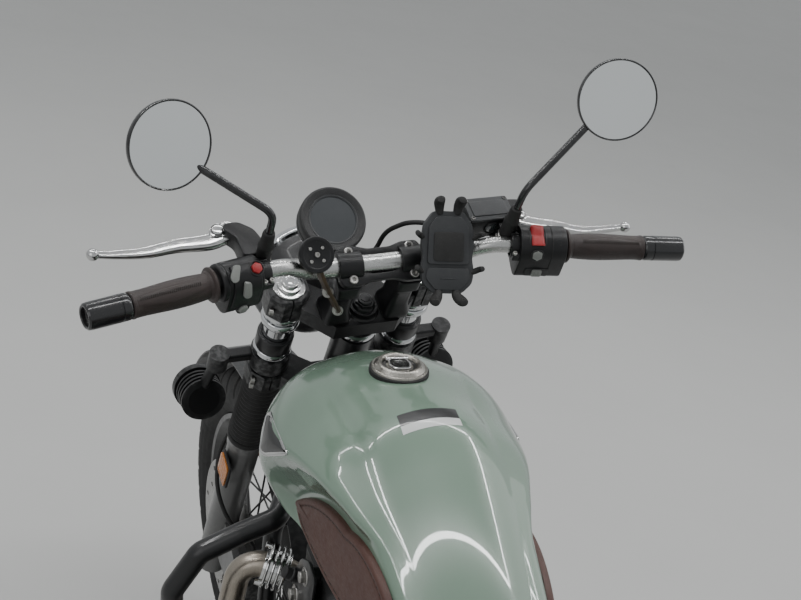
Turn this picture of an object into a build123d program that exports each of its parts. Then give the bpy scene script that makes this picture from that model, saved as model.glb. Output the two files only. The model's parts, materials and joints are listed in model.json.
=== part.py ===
from build123d import *
import json
import math
import os

# Cafe racer motorcycle, leaning on its side stand with the bars a little to the left.
# Sizes are in mm. Everything is drawn upright first, +Y forward and +X to the rider's right.
# The steered pieces are drawn in their own frame: X right, Y forward and Z up along the steering axis,
# with the origin where that axis meets the top yoke.

lean_deg = 6.0
steer_deg = 6.5
rake_deg = 26.5
head_y = 341.0
head_z = 968.0
wheelbase = 1440.0
seat_gap = 0.1
fit_gap = 0.05
stem_gap = 0.09

# wheels
front_tyre_radius = 319.0
front_tyre_half_width = 50.0
rear_tyre_radius = 320.0
rear_tyre_half_width = 65.0
axle_v = 50.0
axle_w = -750.0
rim_radius_front = 233.0
rim_radius_rear = 220.0
rim_half_width_front = 32.0
rim_half_width_rear = 44.0
rim_depth = 26.0
spoke_count = 36
spoke_radius = 1.9
hub_radius = 30.0
hub_flange_radius = 52.0
hub_half_width = 45.0
axle_radius = 8.5
axle_bore_radius = 5.0
disc_radius = 155.0
disc_thickness = 5.0
disc_inner_radius = 108.0
disc_hole_radius = 4.5
front_disc_x = -66.0
rear_disc_x = 74.0
rear_disc_radius = 128.0
rear_disc_inner_radius = 84.0

# fork and yokes
fork_u = 100.0
fork_v = 40.0
fork_tube_radius = 20.5
fork_top_w = 16.0
fork_cap_steps = [(23.0, 3.0), (17.0, 9.0), (12.0, 14.0)]
fork_clamp_radius = 32.0
gaiter_top_w = -195.1
gaiter_bottom_w = -360.0
gaiter_radius = 32.0
leg_radius = 27.0
leg_top_w = -360.1
leg_bottom_w = -775.0
leg_collar_height = 22.0
caliper_side = -1
caliper_half = 30.0
top_yoke_thickness = 26.0
lower_yoke_w = -165.0
lower_yoke_thickness = 30.0
yoke_front_v = 69.0
yoke_rear_v = -27.0
stem_radius = 15.0
lock_v = 49.0
lock_radius = 16.0
lock_height = 24.0

# handlebar, half of it, in the steering frame
bar_radius = 11.1
bar_clamp_radius = 14.3
bar_path = [(0, -2, 104), (92, -2, 106), (150, -22.3, 145.6), (410, -78, 163)]
bar_taper = (22.0, 55.0)
bar_bend = 60.0
clamp_u = 44.0
clamp_half_width = 62.0
clamp_window = 56.0
clamp_tilt = 21.8
grip_reach = (52.0, 165.0)
grip_radius = 17.0
switch_reach = 190.5
switch_radius = {-1: 25.0, 1: 27.5}
switch_half_length = {-1: 22.0, 1: 22.0}

# side, distance along the case, angle around it, width, length, height
switch_buttons = [
    (1, -2, 103, 16, 26, 3.5),
    (1, 2, 160, 14, 14, 2.5),
    (-1, -12, 62, 12, 18, 4.0),
    (-1, -8, 118, 13, 13, 3.0),
    (-1, 4, 150, 12, 20, 4.5),
    (-1, 8, 188, 14, 14, 3.0),
]

# controls; side, height of the lever's pivot, points along its blade
perch_u = (176.0, 194.0)
perch_radius = 17.0
lever_radius = 5.0
lever_pivot_u = 192.0
lever_pivot_v = 26.0
lever_table = [
    (-1, 140.0, [(-232, 28, 140), (-316, 29, 137), (-385, 22, 153)]),
    (1, 118.0, [(238, 26, 118), (314, 12, 109.5), (376, -2, 126)]),
]
mirror_u = 174.0
mirror_v = -10.0
mirror_radius = 55.0
reservoir_u = 159.0
reservoir_v = 28.0
reservoir_w = 143.5
reservoir_height = 40.0
gauge_place = (-23, 110, 70)
gauge_normal = (0, -0.377, 0.925)
gauge_radius = 49.0
holder_place = (78, -34, 155)
puck_place = (-103, -17, 156)

# claws of the phone holder: x, y on its plate, width, height, rise in front of it
holder_claws = [
    (-11, 62, 14, 30, 12),
    (13, 62, 14, 30, 12),
    (-39, 22, 16, 10, 12),
    (39, 22, 16, 10, 12),
    (-39, -24, 16, 10, 12),
    (39, -24, 16, 10, 12),
    (-18, -62, 16, 28, 12),
    (20, -62, 16, 28, 12),
]

hose_radius = 3.5
hose_path = [
    (132.6, 30, 134), (98, 34, 128), (66, 62, 108), (50, 88, 58), (48, 92, 10), (16, 92, -42),
    (-22, 90, -88), (-58, 86, -134), (-80, 84, -190), (-88, 84, -250), (-92, 84, -320), (-104, 82, -390),
    (-130, 64, -440), (-138, 20, -484), (-124, -26, -520), (-80, -60, -556), (-80, -60, -599.9),
]

# tank sections: y, bottom z, bottom half width, side z, side half width, crease x, crease z, top z
tank_sections = [
    (292.0, 838.0, 48.0, 880.0, 62.0, 34.0, 917.0, 922.0),
    (262.0, 792.0, 96.0, 858.0, 132.0, 72.0, 930.0, 944.0),
    (190.0, 764.0, 132.0, 856.0, 168.0, 95.0, 943.0, 965.0),
    (105.0, 757.0, 134.0, 862.0, 168.0, 90.0, 941.0, 970.0),
    (20.0, 755.0, 124.0, 866.0, 157.0, 88.0, 939.0, 969.0),
    (-60.0, 756.0, 114.0, 848.0, 141.0, 84.0, 914.0, 942.0),
    (-150.0, 760.0, 100.0, 822.0, 123.0, 69.0, 883.0, 905.0),
    (-230.0, 768.0, 86.0, 802.0, 102.0, 58.0, 846.0, 862.0),
    (-262.0, 772.0, 76.0, 796.0, 88.0, 50.0, 826.0, 838.0),
]

# knee recess, its floor and its rim: (y, z) of corners and of a point on the arc between each pair
knee_floor_x = 108.5
knee_floor_turn = 5.5
knee_rim_rise = 60.0
knee_floor = [(146, 788), (74, 842), (-60, 876), (-140, 880), (-212, 846), (-222, 806), (-206, 775), (-60, 752), (104, 762), (134, 768)]
knee_rim = [(240, 760), (166, 862), (0, 928), (-120, 940), (-300, 905), (-312, 790), (-300, 690), (-60, 670), (170, 676), (216, 700)]
pad_outline = [(132, 797), (66, 838), (-38, 862), (-110, 872), (-196, 840), (-206, 810), (-192, 784), (-70, 760), (86, 770), (118, 782)]
pad_thickness = 10.0
tunnel_width = 110.0
tank_rubbers = [(180, 798), (-110, 791)]
cap_y = 134.0
cap_z = 960.0
cap_radius = 37.0

# frame, rails and rear end
tube_radius = 14.0
rail_radius = 12.0
rail_u = 100.0
rail_front_y = -300.0
rail_front_z = 752.0
rail_rear_z = 772.0
rail_overhang = 52.4
down_tube_path = [(20, 372, 868), (104, 318, 620), (112, 288, 250), (112, 240, 212), (112, -170, 212),
                  (112, -232, 290), (104, -236, 560), (96, -150, 738), (60, -40, 738), (12, 60, 785)]
swing_y = -276.0
swing_z = 330.0
swing_half = 102.0
front_fender_gap = 30.0
rear_fender_gap = 78.0
plate_size = (200.0, 3.0, 150.0)
plate_place = (0, -1022, 640)
plate_tilt = -14.0
plate_hole_radius = 3.2
plate_hole_x = 85.0
shock_low = (128, -668, 328)
shock_high = (128, -560, 704)

# seat: share of its length, height over the rails, half width below, half width at the shoulder, shoulder height
seat_front_y = -270.0
seat_sections = [
    (0.0, 74.0, 92.0, 80.0, 48.0),
    (0.16, 70.0, 118.0, 106.0, 46.0),
    (0.5, 66.0, 124.0, 112.0, 42.0),
    (0.82, 84.0, 114.0, 98.0, 56.0),
    (0.985, 92.0, 92.0, 72.0, 60.0),
]

# engine
fin_count = 13
fin_pitch = 11.0
fin_base_z = 488.0
engine_y = 105.0
port_x = 72.0
port_y = 198.0
port_z = 574.0
header_path = [(72, 266, 574), (154, 296, 592), (170, 288, 486), (162, 205, 254), (162, -160, 250), (176, -340, 298)]
header_radius = 19.0
muffler_radius = 42.0
muffler_ends = [(176, -335, 299), (184, -820, 352)]
crash_bar_path = [(82, 322, 716), (120, 242, 693), (172, 240, 673), (228, 240, 645), (262, 246, 580),
                  (250, 290, 460), (205, 332, 390), (112, 306, 345)]
crash_bar_radius = 16.0

# chain: y, z and radius of its two sprockets' pitch circles
drive_sprocket = (-130.0, 345.0, 39.0)
rear_sprocket_radius = 93.0
chain_x = -78.0
chain_pitch = 15.9

# side stand
stand_pivot = (-118.0, -20.0, 172.0)
stand_axis = (1.0, 0.112, -0.35)
stand_reach = (-132.0, 36.0)
stand_pin_radius = 8.0


def cylinder_between(start, end, radius):
    start = Vector(*start)
    end = Vector(*end)
    base = Plane(origin=start, z_dir=end - start)
    return extrude(base * Circle(radius), (end - start).length)


def pipe(points, radius, bend):
    points = [Vector(*p) for p in points]
    if len(points) == 2:
        return cylinder_between(points[0], points[1], radius)
    route = FilletPolyline(*points, radius=bend)
    base = Plane(origin=route @ 0, z_dir=route % 0)
    return sweep(base * Circle(radius), path=route)


def across(points, x_start, x_end):
    """Prism of a side outline given as (y, z), from x_start to x_end."""
    outline = make_face(Polyline(*points, close=True).edges())
    return extrude(Plane.YZ.offset(x_start) * outline, x_end - x_start, dir=(1, 0, 0))


def wheel_ring(centre, radius, hole, x_start, x_end):
    """Ring or disc across the bike, about an axis along X."""
    base = Plane(origin=(x_start, centre[0], centre[1]), z_dir=(1, 0, 0))
    face = Circle(radius)
    if hole > 0:
        face = face - Circle(hole)
    return extrude(base * face, x_end - x_start)


def ribbed_sleeve(start, end, peak, valley, bore, ribs):
    """Sleeve of ribs between two points, as on a rubber boot or a closely wound spring."""
    start = Vector(*start)
    end = Vector(*end)
    length = (end - start).length
    step = length / ribs
    outline = [(bore, 0)]
    for i in range(ribs):
        outline += [(valley, i * step), (peak, (i + 0.35) * step), (peak, (i + 0.65) * step)]
    outline += [(valley, length), (bore, length)]
    body = revolve(Plane.XZ * make_face(Polyline(*outline, close=True).edges()), Axis.Z)
    return Plane(origin=start, z_dir=end - start) * body


def mirrored(shape):
    return mirror(shape, about=Plane.YZ)


def both_sides(shape):
    return Compound(children=[shape, mirrored(shape)])


def fuse(pieces):
    result = pieces[0]
    for piece in pieces[1:]:
        result = result + piece
    return result


def facing(centre, normal):
    """Plane at a point whose normal looks along a direction, its Y as near to up as it can be."""
    normal = Vector(*normal).normalized()
    side = Vector(0, 0, 1).cross(normal).normalized()
    return Plane(origin=centre, x_dir=side, z_dir=normal)


# frames of the leaning bike and of its steering
lean_rot = Rot(0, -lean_deg, 0)
steer_upright = Pos(0, head_y, head_z) * Rot(rake_deg, 0, 0) * Rot(0, 0, steer_deg)
straight_upright = Pos(0, head_y, head_z) * Rot(rake_deg, 0, 0)
front_axle_straight = (straight_upright * Pos(0, axle_v, axle_w)).position
rear_axle_y = front_axle_straight.Y - wheelbase
rail_end_y = rear_axle_y - rail_overhang
rail_corner_y = rail_end_y + 52


def lowest(location, radius, crown):
    """Height of the lowest point of a tyre of round crown placed at a location, axle along its X."""
    rise = Plane(location).x_dir.Z
    return location.position.Z - (radius - crown) * math.sqrt(1 - rise * rise) - crown


front_low = lowest(lean_rot * steer_upright * Pos(0, axle_v, axle_w), front_tyre_radius, front_tyre_half_width)
rear_trial = lowest(lean_rot * Pos(0, rear_axle_y, 0), rear_tyre_radius, rear_tyre_half_width)
rear_axle_z = (front_low - rear_trial) / math.cos(math.radians(lean_deg))
ground = Pos(0, 0, -front_low) * lean_rot


def tyre(radius, half_width, rim_radius, rim_half):
    """Solid of revolution about X, crown as a half circle."""
    shoulder = radius - half_width
    right = ThreePointArc(
        (half_width, shoulder),
        ((half_width + rim_half) / 2 + 4, (shoulder + rim_radius) / 2),
        (rim_half, rim_radius),
    )
    left = mirror(right, about=Plane.YZ)
    crown = ThreePointArc((half_width, shoulder), (0, radius), (-half_width, shoulder))
    base = Line((rim_half, rim_radius), (-rim_half, rim_radius))
    face = make_face([*crown.edges(), *right.edges(), *left.edges(), *base.edges()])
    return revolve(face, Axis.X)


def rim(rim_radius, rim_half):
    inner = rim_radius - rim_depth
    outline = Polyline(
        (-rim_half - 5, rim_radius - seat_gap),
        (rim_half + 5, rim_radius - seat_gap),
        (rim_half + 4, rim_radius - 9),
        (12, inner),
        (-12, inner),
        (-rim_half - 4, rim_radius - 9),
        close=True,
    )
    return revolve(make_face(outline.edges()), Axis.X)


def spoked_wheel(rim_radius, rim_half):
    wheel = rim(rim_radius, rim_half)
    hub = wheel_ring((0, 0), hub_radius, axle_radius + fit_gap, -hub_half_width, hub_half_width)
    for side in (-1, 1):
        flange = wheel_ring((0, 0), hub_flange_radius, axle_radius + fit_gap, side * 34 - 3, side * 34 + 3)
        hub = hub + flange
    spokes = []
    for i in range(spoke_count):
        side = -1 if i % 2 else 1
        at_rim = math.radians(i * 360 / spoke_count)
        cross = math.radians(38 if (i // 2) % 2 else -38)
        foot = at_rim + cross
        start = (side * 34, (hub_flange_radius - 5) * math.cos(foot), (hub_flange_radius - 5) * math.sin(foot))
        reach = rim_radius - rim_depth + 4
        end = (side * 5, reach * math.cos(at_rim), reach * math.sin(at_rim))
        spokes.append(cylinder_between(start, end, spoke_radius))
    return fuse([wheel, hub, *spokes])


def brake_disc(radius, inner, x_middle, hole_count):
    """Disc with two rings of holes, the second ring set between the holes of the first."""
    ring = wheel_ring((0, 0), radius, inner, x_middle - disc_thickness / 2, x_middle + disc_thickness / 2)
    holes = []
    for i in range(hole_count):
        reach = inner + (radius - inner) * (0.42 if i % 2 else 0.72)
        holes.append(Rot(i * 360 / hole_count, 0, 0) * Pos(x_middle, 0, reach) * Rot(0, 90, 0) * Cylinder(disc_hole_radius, 20))
    return ring.cut(*holes)


def disc_carrier(inner, x_middle, x_hub):
    """Six arms on a plate that hold a disc, and the boss that reaches the hub."""
    plate = wheel_ring((0, 0), 62, axle_radius + 6, x_middle - 3, x_middle + 3)
    arms = [Rot(i * 60, 0, 0) * Pos(x_middle, 0, 0) * Box(5, 18, 2 * inner + 4) for i in range(3)]
    spider = fuse([plate, *arms]) - wheel_ring((0, 0), axle_radius + 6, 0, x_middle - 10, x_middle + 10)
    boss = wheel_ring((0, 0), 34, axle_radius + 6, min(x_hub, x_middle), max(x_hub, x_middle))
    return spider + boss


def front_parts():
    """Pieces that turn with the steering, in the steering frame."""
    parts = {}
    tubes = []
    for side in (-1, 1):
        foot = (side * fork_u, fork_v, leg_top_w + seat_gap)
        top = (side * fork_u, fork_v, fork_top_w)
        tube = cylinder_between(foot, top, fork_tube_radius)
        for radius, height in fork_cap_steps:
            tube = tube + Pos(*top) * Pos(0, 0, height / 2) * Cylinder(radius, height)
        tubes.append(tube)
    parts["fork_tubes"] = Compound(children=tubes)
    parts["yokes"] = yoke_pair()

    lock = Pos(0, lock_v, seat_gap) * extrude(Circle(lock_radius), lock_height)
    lock = chamfer(lock.edges().group_by(Axis.Z)[-1], 2)
    key_slot = Pos(0, lock_v, lock_height) * Box(2.4, 12, 8)
    parts["ignition_lock"] = lock - key_slot

    gaiters = []
    legs = []
    for side in (-1, 1):
        low = (side * fork_u, fork_v, gaiter_bottom_w)
        high = (side * fork_u, fork_v, gaiter_top_w)
        gaiters.append(ribbed_sleeve(low, high, gaiter_radius, gaiter_radius - 4, fork_tube_radius + fit_gap, 8))
        leg = cylinder_between((side * fork_u, fork_v, leg_bottom_w), (side * fork_u, fork_v, leg_top_w), leg_radius)
        collar = cylinder_between((side * fork_u, fork_v, leg_top_w - leg_collar_height), (side * fork_u, fork_v, leg_top_w), leg_radius + 2)
        lug = across(
            [(fork_v - 22, axle_w - 26), (fork_v + 30, axle_w - 26), (fork_v + 30, axle_w + 26), (fork_v - 22, axle_w + 40)],
            side * fork_u - 15, side * fork_u + 15,
        )
        if side == caliper_side:
            lug = lug + across(
                [(fork_v - 16, axle_w + 45), (axle_v - 112, axle_w + 60), (axle_v - 112, axle_w + 140), (fork_v - 16, axle_w + 155)],
                -fork_u - 8, front_disc_x - caliper_half - seat_gap,
            )
        legs.append(fuse([leg, collar, lug]))
    axle = wheel_ring((axle_v, axle_w), axle_radius, 0, -130, 130)
    bore = wheel_ring((axle_v, axle_w), axle_bore_radius, 0, -140, 140)
    parts["fork_gaiters"] = Compound(children=gaiters)
    parts["fork_legs"] = fuse([legs[0], axle, legs[1]]) - bore

    caliper = across(
        [(axle_v - 158, axle_w + 66), (axle_v - 132, axle_w + 56), (axle_v - 100, axle_w + 60), (axle_v - 90, axle_w + 142),
         (axle_v - 98, axle_w + 150), (axle_v - 140, axle_w + 150), (axle_v - 152, axle_w + 136)],
        front_disc_x - caliper_half, front_disc_x + 22,
    )
    slot = wheel_ring((axle_v, axle_w), disc_radius + 6, 0, front_disc_x - 6, front_disc_x + 6)
    parts["front_caliper"] = caliper - slot

    half_bar = half_handlebar(0)
    parts["handlebar"] = half_bar + mirrored(half_bar)
    parts["bar_clamps"] = bar_clamp()
    parts.update(grips_and_switches())
    parts.update(levers_and_mirrors())
    parts.update(gauge_and_holder())
    parts.update(lamps_and_fender())
    parts["cables"] = brake_hose()
    return parts


def yoke_pair():
    """Top and lower yoke on one stem; the fork clamps are eight-sided blocks, split at the rear."""
    right_edge = [(34, yoke_front_v), (46, fork_v), (80, fork_v + 27), (90, fork_v - 24), (46, yoke_rear_v)]
    outline = right_edge + [(-u, v) for u, v in reversed(right_edge)]
    middle = make_face(Polyline(*outline, close=True).edges())
    top = extrude(middle, -top_yoke_thickness, dir=(0, 0, 1))
    low_edge = [(34, fork_v - 8), (80, fork_v + 27), (90, fork_v - 24), (46, yoke_rear_v)]
    low_outline = low_edge + [(-u, v) for u, v in reversed(low_edge)]
    low_middle = make_face(Polyline(*low_outline, close=True).edges())
    low = Pos(0, 0, lower_yoke_w) * extrude(low_middle, -lower_yoke_thickness, dir=(0, 0, 1))
    pieces = [top, low]
    for side in (-1, 1):
        for base, height, bevel in (
            (-top_yoke_thickness, top_yoke_thickness + fork_top_w, 3.0),
            (lower_yoke_w - lower_yoke_thickness, lower_yoke_thickness, 2.0),
        ):
            block = extrude(RegularPolygon(fork_clamp_radius, 8, rotation=22.5), height)
            block = chamfer(block.edges().group_by(Axis.Z)[-1], bevel)
            pieces.append(Pos(side * fork_u, fork_v, base) * block)
    pieces.append(cylinder_between((0, 0, lower_yoke_w - lower_yoke_thickness - 6), (0, 0, 4), stem_radius))
    pieces.append(extrude(Circle(20), 10))
    pieces.append(Pos(0, 0, 10) * extrude(RegularPolygon(14, 6), 11))
    pieces.append(Pos(0, 0, -36) * Cylinder(28, 14))
    yokes = fuse(pieces)
    for side in (-1, 1):
        hole = Pos(side * fork_u, fork_v, -150) * Cylinder(fork_tube_radius + fit_gap, 400)
        split = Pos(side * fork_u, fork_v - fork_clamp_radius, -90) * Box(2.4, 26, 300)
        yokes = yokes - hole - split
    return yokes


def half_handlebar(gap):
    """Right half of the tapered bar, thick in its clamps and thin at the grips; a gap makes it a cutter."""
    middle, bend, shoulder, tip = (Vector(*p) for p in bar_path)
    rise = (shoulder - bend).normalized()
    taper_start = bend + rise * bar_taper[0]
    taper_end = bend + rise * bar_taper[1]
    base = Plane(origin=taper_start, z_dir=rise)
    cone = loft([base * Circle(bar_clamp_radius + gap), base.offset(bar_taper[1] - bar_taper[0]) * Circle(bar_radius + gap)])
    thick = pipe([middle, bend, taper_start], bar_clamp_radius + gap, bar_bend)
    thin = pipe([taper_end, shoulder, tip], bar_radius + gap, bar_bend)
    return fuse([thick, cone, thin])


def bar_point(u):
    """Point of the bar's straight outer run, a distance out from the middle."""
    start = Vector(*bar_path[2])
    end = Vector(*bar_path[3])
    return start + (end - start) * ((u - start.X) / (end.X - start.X))


def bar_clamp():
    """Two risers under one bridge, which is cut open in the middle so that the bar shows."""
    bar_v, bar_w = bar_path[0][1], bar_path[0][2]
    tilt = Pos(bar_v, bar_w) * Rot(0, 0, clamp_tilt)
    profile = Pos(bar_v, bar_w) * Circle(bar_clamp_radius + 8) + tilt * Pos(0, -11) * RectangleRounded(58, 20, 4)
    bridge = extrude(Plane.YZ.offset(-clamp_half_width) * profile, 2 * clamp_half_width)
    window = Pos(0, bar_v + 4, bar_w + 22) * Box(clamp_window, 40, 60)
    body = bridge - window
    for side in (-1, 1):
        foot = Pos(side * clamp_u, bar_v, seat_gap) * RectangleRounded(36, 46, 9)
        head = Pos(side * clamp_u, bar_v, bar_w - 10) * RectangleRounded(32, 40, 9)
        body = body + loft([foot, head])
    bore = half_handlebar(fit_gap)
    return body - bore - mirrored(bore)


def grips_and_switches():
    parts = {}
    tip = Vector(*bar_path[3])
    way = (tip - Vector(*bar_path[2])).normalized()

    def inward(distance):
        return tuple(tip - way * distance)

    bore = cylinder_between(inward(260), inward(-seat_gap), bar_radius + fit_gap)
    grip = cylinder_between(inward(grip_reach[1]), inward(grip_reach[0]), grip_radius)
    flange = cylinder_between(inward(grip_reach[1]), inward(grip_reach[1] - 4), grip_radius + 5.5)
    parts["grips"] = both_sides(grip + flange - bore)
    weight = cylinder_between(inward(grip_reach[0] - 0.2), inward(-6), grip_radius + 0.5)
    waist = Plane(origin=inward(38), z_dir=way)
    groove = extrude(waist * (Circle(grip_radius + 2) - Circle(grip_radius - 0.6)), 1.6)
    parts["bar_ends"] = both_sides(weight - groove - bore)

    cases = []
    for side in (-1, 1):
        base = facing(inward(switch_reach), way)
        drum = base.offset(-switch_half_length[side]) * Circle(switch_radius[side])
        case = extrude(drum, 2 * switch_half_length[side])
        case = chamfer(case.edges().filter_by(GeomType.CIRCLE), 1.5)
        if side > 0:
            box = make_face(Polyline((-27, 0), (-27, -34), (-18, -41), (9, -41), (24, -26), (27, 0), close=True).edges())
            case = case + extrude(base.offset(-switch_half_length[side]) * box, 2 * switch_half_length[side])
        for button_side, along, angle, width, length, height in switch_buttons:
            if button_side == side:
                seat = base.location * Rot(0, 0, angle) * Pos(switch_radius[side] - 4, 0, along) * Rot(0, 90, 0)
                case = case + seat * extrude(RectangleRounded(width, length, 3), height + 4)
        case = case - bore
        cases.append(case if side > 0 else mirrored(case))
    parts["switchgear"] = Compound(children=cases)
    return parts


def levers_and_mirrors():
    parts = {}
    levers = []
    perches = []
    bore = half_handlebar(fit_gap)
    for side, pivot_w, points in lever_table:
        root = Vector(side * lever_pivot_u, lever_pivot_v + seat_gap, pivot_w)
        blade = pipe([root + Vector(0, 8, 0), *points], lever_radius, 25)
        pivot = cylinder_between(root, root + Vector(0, 14, 0), 9)
        levers.append(fuse([pivot, blade, Pos(*points[-1]) * Sphere(9)]))
        band = cylinder_between(bar_point(perch_u[0]), bar_point(perch_u[1]), perch_radius)
        if side < 0:
            band = mirrored(band)
        height = 153 - pivot_w + 11
        arm = Pos(side * 188, 0, pivot_w - 11) * extrude(RectangleRounded(22, 2 * lever_pivot_v, 7), height)
        socket = Pos(side * mirror_u, mirror_v, 140) * extrude(Circle(10.5), 36)
        socket = socket + Pos(side * mirror_u, mirror_v, 140) * extrude(Circle(8.5), 64)
        perches.append(fuse([band, arm, socket]) - (bore if side > 0 else mirrored(bore)))
    base_w = reservoir_w - reservoir_height / 2
    jar = Pos(reservoir_u - 2, reservoir_v, base_w) * extrude(RectangleRounded(46, 30, 8), reservoir_height - 5, taper=-4)
    lid = Pos(reservoir_u, reservoir_v, base_w + reservoir_height - 5) * extrude(RectangleRounded(67, 40, 7), 5)
    eye = cylinder_between((reservoir_u, reservoir_v - 10, reservoir_w), (reservoir_u, reservoir_v - 19, reservoir_w), 7)
    master = cylinder_between((reservoir_u - 26, reservoir_v, base_w - 4), (perch_u[0] + 2, reservoir_v, base_w - 4), 11)
    perches[1] = fuse([perches[1], jar, lid, eye, master]) - bore
    parts["lever_perches"] = Compound(children=perches)
    parts["levers"] = Compound(children=levers)

    arms = []
    glasses = []
    bowl = make_face(
        Polyline((0, -17), (26, -16), (46, -12), (mirror_radius, -5), (mirror_radius, 0), (mirror_radius - 2.5, 0),
                 (mirror_radius - 2.5, -3), (0, -3), close=True).edges()
    )
    for side in (-1, 1):
        centre = (side * 300, 44, 328.5 + side * 12.5)
        plane = facing(centre, (-side * 0.22, -0.80, 0.56))
        shell = plane * revolve(Plane.XZ * bowl, Axis.Z)
        glass = extrude(plane.offset(-2.9) * Circle(mirror_radius - 2.6), 2.4)
        stem = pipe([(side * mirror_u, mirror_v, 204 + seat_gap), (side * mirror_u, mirror_v, 238), (side * 267.4, 46.7, 296.3 + side * 12.5)], 5, 18)
        arms.append(shell + stem)
        glasses.append(glass)
    parts["mirror_arms"] = Compound(children=arms)
    parts["mirror_glass"] = Compound(children=glasses)
    return parts


def gauge_and_holder():
    parts = {}
    dial = facing(gauge_place, gauge_normal)
    pod = make_face(
        Polyline((0, -36), (30, -36), (42, -30), (gauge_radius - 2, -12), (gauge_radius, -8), (gauge_radius, 0),
                 (gauge_radius - 5, 0), (gauge_radius - 6, -3), (0, -3), close=True).edges()
    )
    body = dial * revolve(Plane.XZ * pod, Axis.Z)
    foot = Pos(-12, yoke_front_v + seat_gap + 4, -top_yoke_thickness / 2) * Box(36, 8, 20)
    leg = cylinder_between((-14, yoke_front_v + 7, -12), (-23, 112, 44), 8)
    parts["gauge"] = fuse([body, leg, foot])

    pad = facing(holder_place, (-0.1, -0.62, 0.78))
    plate = extrude(pad * RectangleRounded(72, 112, 14), -14)
    pocket = extrude(pad * Pos(0, 4) * RectangleRounded(54, 62, 6), -2)
    holder = plate - pocket
    for x, y, width, height, rise in holder_claws:
        claw = pad.offset(-12) * Pos(x, y) * RectangleRounded(width, height, 3)
        holder = holder + extrude(claw, 12 + rise)
    neck = cylinder_between((80, -25, 142), (87, -6, 112), 9)
    joint = Pos(81.5, -21, 136) * Sphere(13)
    collar = cylinder_between((72, -2, 105), (96, -3, 108), 20)
    bore = half_handlebar(fit_gap)
    holder = fuse([holder, joint, neck, collar]) - bore
    puck = facing(puck_place, (0, -0.6, 0.8))
    dish = make_face(Polyline((0, -12), (17, -12), (22, -9), (24, -5), (24, 0), (21, 0), (20, -1.5), (0, -1.5), close=True).edges())
    disc = puck * revolve(Plane.XZ * dish, Axis.Z)
    rear_v = bar_path[0][1] - 21.6
    stalk = pipe([(-101, -11, 149), (-92, -29, 128), (-60, rear_v - 9, 64)], 6.5, 14)
    stalk = stalk + Pos(-54, rear_v - seat_gap - 5, 60) * Box(20, 10, 32)
    parts["bar_accessories"] = Compound(children=[holder, disc + stalk])
    return parts


def lamps_and_fender():
    parts = {}
    lamp_place = Pos(0, 172, -150) * Rot(-rake_deg, 0, 0)
    profile = make_face(
        Polyline((0, -78), (46, -66), (74, -34), (82, 0), (88, 4), (88, 18), (78, 22), (0, 22), close=True).edges()
    )
    bowl = revolve(profile, Axis.Y)
    lens = Pos(0, 22 + seat_gap, 0) * Rot(-90, 0, 0) * extrude(Circle(76), 6)
    ears = []
    for side in (-1, 1):
        ring = cylinder_between((side * fork_u, fork_v, -114), (side * fork_u, fork_v, -86), 27)
        arm = cylinder_between((side * 96, 62, -100), (side * 93, 160, -152), 7)
        knob = cylinder_between((side * 72, 160, -152), (side * 101, 160, -152), 10)
        hole = cylinder_between((side * fork_u, fork_v, -190), (side * fork_u, fork_v, -60), fork_tube_radius + fit_gap)
        ears.append(fuse([ring, arm, knob]) - hole)
    parts["headlamp"] = fuse([lamp_place * bowl, *ears])
    parts["headlamp_glass"] = lamp_place * lens

    aux = []
    can_outline = [(0, -26), (24, -26)]
    for i in range(4):
        can_outline += [(34, -24 + 9 * i), (34, -20 + 9 * i), (30, -20 + 9 * i), (30, -15 + 9 * i)]
    can_outline += [(36, 12), (36, 24), (31, 24), (30, 20), (0, 20)]
    can = revolve(make_face(Polyline(*can_outline, close=True).edges()), Axis.Y)
    for side in (-1, 1):
        clamp = cylinder_between((side * fork_u, fork_v, -158), (side * fork_u, fork_v, -128), 30)
        clamp = clamp - cylinder_between((side * fork_u, fork_v, -190), (side * fork_u, fork_v, -90), fork_tube_radius + fit_gap)
        arm = Pos(side * 152, 46, -142) * Rot(0, 90, 0) * extrude(RectangleRounded(16, 18, 4), 28, both=True)
        knuckle = cylinder_between((side * 176, 46, -164), (side * 176, 46, -132), 15)
        drop = cylinder_between((side * 178, 46, -150), (side * 186, 52, -220), 8)
        aux.append(fuse([clamp, arm, knuckle, drop, Pos(side * 188, 58, -247) * Rot(-rake_deg, 0, 0) * can]))
    parts["aux_lamps"] = Compound(children=aux)

    axle = (axle_v, axle_w)
    fender_radius = front_tyre_radius + front_fender_gap
    outer = wheel_ring(axle, fender_radius + 3, fender_radius, -58, 58)
    keep = across([(axle_v, axle_w), (axle_v + 460, axle_w - 60), (axle_v + 300, axle_w + 500), (axle_v - 480, axle_w + 500),
                   (axle_v - 500, axle_w - 60)], -80, 80)
    blade = outer & keep
    for side in (-1, 1):
        stay = cylinder_between((side * 56, axle_v - 140, axle_w + fender_radius - 30), (side * 92, fork_v - 20, axle_w + 120), 5)
        bracket = Pos(side * 66, fork_v, axle_w + fender_radius - 3) * Box(26, 30, 6)
        blade = fuse([blade, stay, bracket])
    for side in (-1, 1):
        blade = blade - cylinder_between((side * fork_u, fork_v, -780), (side * fork_u, fork_v, -386), leg_radius + fit_gap)
    parts["front_fender"] = blade
    return parts


def brake_hose():
    """Hose from the brake reservoir to the caliper, straight runs joined by arcs that touch them."""
    points = [Vector(*p) for p in hose_path]
    bends = []
    for before, corner, after in zip(points, points[1:], points[2:]):
        into = corner - before
        out = after - corner
        half_turn = math.radians(into.get_angle(out)) / 2
        bends.append(0.45 * min(into.length, out.length) / math.tan(half_turn))
    print("hose bend radii", [round(b) for b in bends])
    print("hose length", round(sum((b - a).length for a, b in zip(points, points[1:]))))
    route = FilletPolyline(*points, radius=bends)
    base = Plane(origin=route @ 0, z_dir=route % 0)
    return sweep(base * Circle(hose_radius), path=route)


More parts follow.
